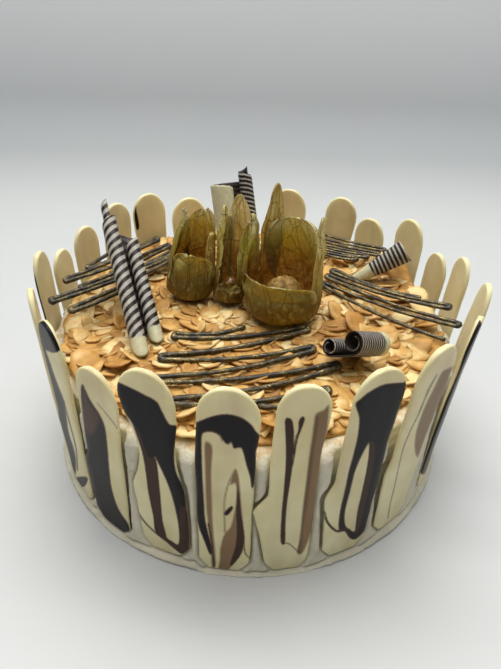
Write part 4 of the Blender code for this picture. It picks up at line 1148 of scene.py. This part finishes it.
def almond_material():
    g = Graph("Toasted almond", Roughness=0.50, Specular_IOR_Level=0.30)
    toast = g.attribute("toast")
    grain = g.noise(1500.0, 3.0)
    cloud = g.noise(170.0, 3.0)
    level = g.maths("ADD", toast, g.span(cloud, 0.3, 0.7, -0.16, 0.16))
    ramp = g.node("ShaderNodeValToRGB", {"Fac": level})
    stops = ramp.color_ramp.elements
    stops[0].position, stops[0].color = 0.05, (0.82, 0.61, 0.29, 1.0)
    stops[1].position, stops[1].color = 0.98, (0.25, 0.095, 0.018, 1.0)
    for position, colour in ((0.34, (0.60, 0.335, 0.090, 1.0)), (0.64, (0.42, 0.20, 0.040, 1.0))):
        stop = stops.new(position)
        stop.color = colour
    colour = g.mix(g.span(g.attribute("rim"), 0.60, 1.0, 0.0, 0.30), ramp.outputs[0],
                   (0.36, 0.16, 0.040))
    colour = g.mix(g.span(grain, 0.45, 0.7, 0.0, 0.12), colour, (0.84, 0.64, 0.34))
    g.put("Base Color", colour)
    g.glow_through(0.15, 0.003, 0.0018, 0.0008)
    g.bump(g.mix(0.4, cloud, grain), 0.0004, 0.5)
    return g.material


def core_material():
    g = Graph("Almond crumbs", Roughness=0.6, Specular_IOR_Level=0.2)
    crumb = g.noise(260.0, 4.0)
    g.put("Base Color", g.mix(g.span(crumb, 0.35, 0.65), (0.22, 0.095, 0.020), (0.58, 0.33, 0.10)))
    g.bump(crumb, 0.0012, 0.9)
    return g.material


# Setting

WALL_DISTANCE, WALL_BEND = 0.52, 0.12
ROOM_COLOUR, ROOM_STRENGTH = (0.93, 0.97, 1.0, 1.0), 0.22
# Name, place, target, size, power in watts, colour
LIGHTS = (("window", (0.1, 0.42, 1.45), (0.0, 0.0, 0.05), (1.6, 0.5), 16.0, (1.0, 1.0, 0.98)),
          ("ceiling", (-0.2, 0.0, 1.65), (0.0, 0.05, 0.05), (1.4, 1.2), 20.0, (1.0, 0.985, 0.95)))


def stage():
    g = Graph("Pale floor", Roughness=0.80, Specular_IOR_Level=0.2)
    depth = g.node("ShaderNodeSeparateXYZ", {0: g.place}).outputs
    speck = g.noise(6.0, 2.0)
    # Painted shade and light on the backdrop: the wall is darker towards its foot and paler higher up.
    wall = g.mix(g.span(depth[2], 0.05, 0.22), (0.47, 0.49, 0.50), (0.72, 0.73, 0.75))
    wall = g.mix(g.span(depth[2], 0.22, 0.42), wall, (0.92, 0.92, 0.93))
    # Painted shade on the floor: darker towards the back.
    floor = g.mix(g.span(depth[1], -0.25, 0.08), (0.65, 0.65, 0.65), (0.545, 0.555, 0.555))
    colour = g.mix(g.span(depth[2], 0.0, 0.05), floor, wall)
    g.put("Base Color", g.mix(g.span(speck, 0.4, 0.6, 0.0, 0.03), colour, (0.70, 0.70, 0.69)))
    bend = WALL_DISTANCE - WALL_BEND
    profile = [(-1.2, 0.0), (bend, 0.0)]
    profile += [(bend + WALL_BEND * math.sin(a), WALL_BEND * (1.0 - math.cos(a)))
                for a in np.linspace(0.1, 0.5 * math.pi, 14)]
    profile += [(WALL_DISTANCE, 1.1)]
    points = [(x, y, z) for y, z in profile for x in np.linspace(-2.5, 2.5, 9)]
    mesh = bpy.data.meshes.new("floor")
    mesh.from_pydata(points, [], ring_faces(len(profile), 9, False))
    mesh.materials.append(g.material)
    mesh.shade_smooth()
    floor = bpy.data.objects.new("floor", mesh)
    bpy.context.scene.collection.objects.link(floor)


def area_light(name, place, target, size, power, colour):
    data = bpy.data.lights.new(name, "AREA")
    data.shape, data.size, data.size_y = "RECTANGLE", *size
    data.energy, data.color = power, colour
    lamp = bpy.data.objects.new(name, data)
    lamp.location = place
    lamp.rotation_euler = (Vector(target) - Vector(place)).to_track_quat("-Z", "Y").to_euler()
    bpy.context.scene.collection.objects.link(lamp)


def camera_and_light():
    scene = bpy.context.scene
    data = bpy.data.cameras.new("camera")
    data.sensor_width, data.sensor_fit = 36.0, "AUTO"
    data.lens = 36.0 * FOCAL_PIXELS / max(WIDTH, HEIGHT)
    data.clip_start = 0.01
    camera = bpy.data.objects.new("camera", data)
    turn = Matrix.Rotation(0.5 * math.pi - PITCH, 4, "X") @ Matrix.Rotation(ROLL, 4, "Z")
    camera.matrix_world = Matrix.Translation(Vector(EYE)) @ turn
    scene.collection.objects.link(camera)
    scene.camera = camera
    world = bpy.data.worlds.new("soft room")
    world.use_nodes = True
    background = world.node_tree.nodes["Background"]
    background.inputs["Color"].default_value = ROOM_COLOUR
    background.inputs["Strength"].default_value = ROOM_STRENGTH
    scene.world = world
    for lamp in LIGHTS:
        area_light(*lamp)
    scene.view_settings.view_transform = "Standard"
    scene.view_settings.look = "None"
    scene.view_settings.exposure = 0.0


def main():
    marbled = tongue_material()
    for number, spec in enumerate(TONGUES, start=1):
        tongue_object(number, spec, marbled)
    cream_object()
    gilded = gilded_material()
    for number, (name, spec) in enumerate(ZIGZAGS.items()):
        zigzag_object(number, name, spec, gilded)
    striped = striped_material()
    for number, (name, spec) in enumerate(ROLLS.items()):
        roll_object(number, name, spec, striped)
    papery, glossy = husk_material(), berry_material()
    for number, (name, spec) in enumerate(HUSKS.items(), start=1):
        husk_object(number, name, spec, papery, glossy)
    flakes_object(almond_material(), core_material())
    stage()
    camera_and_light()


main()
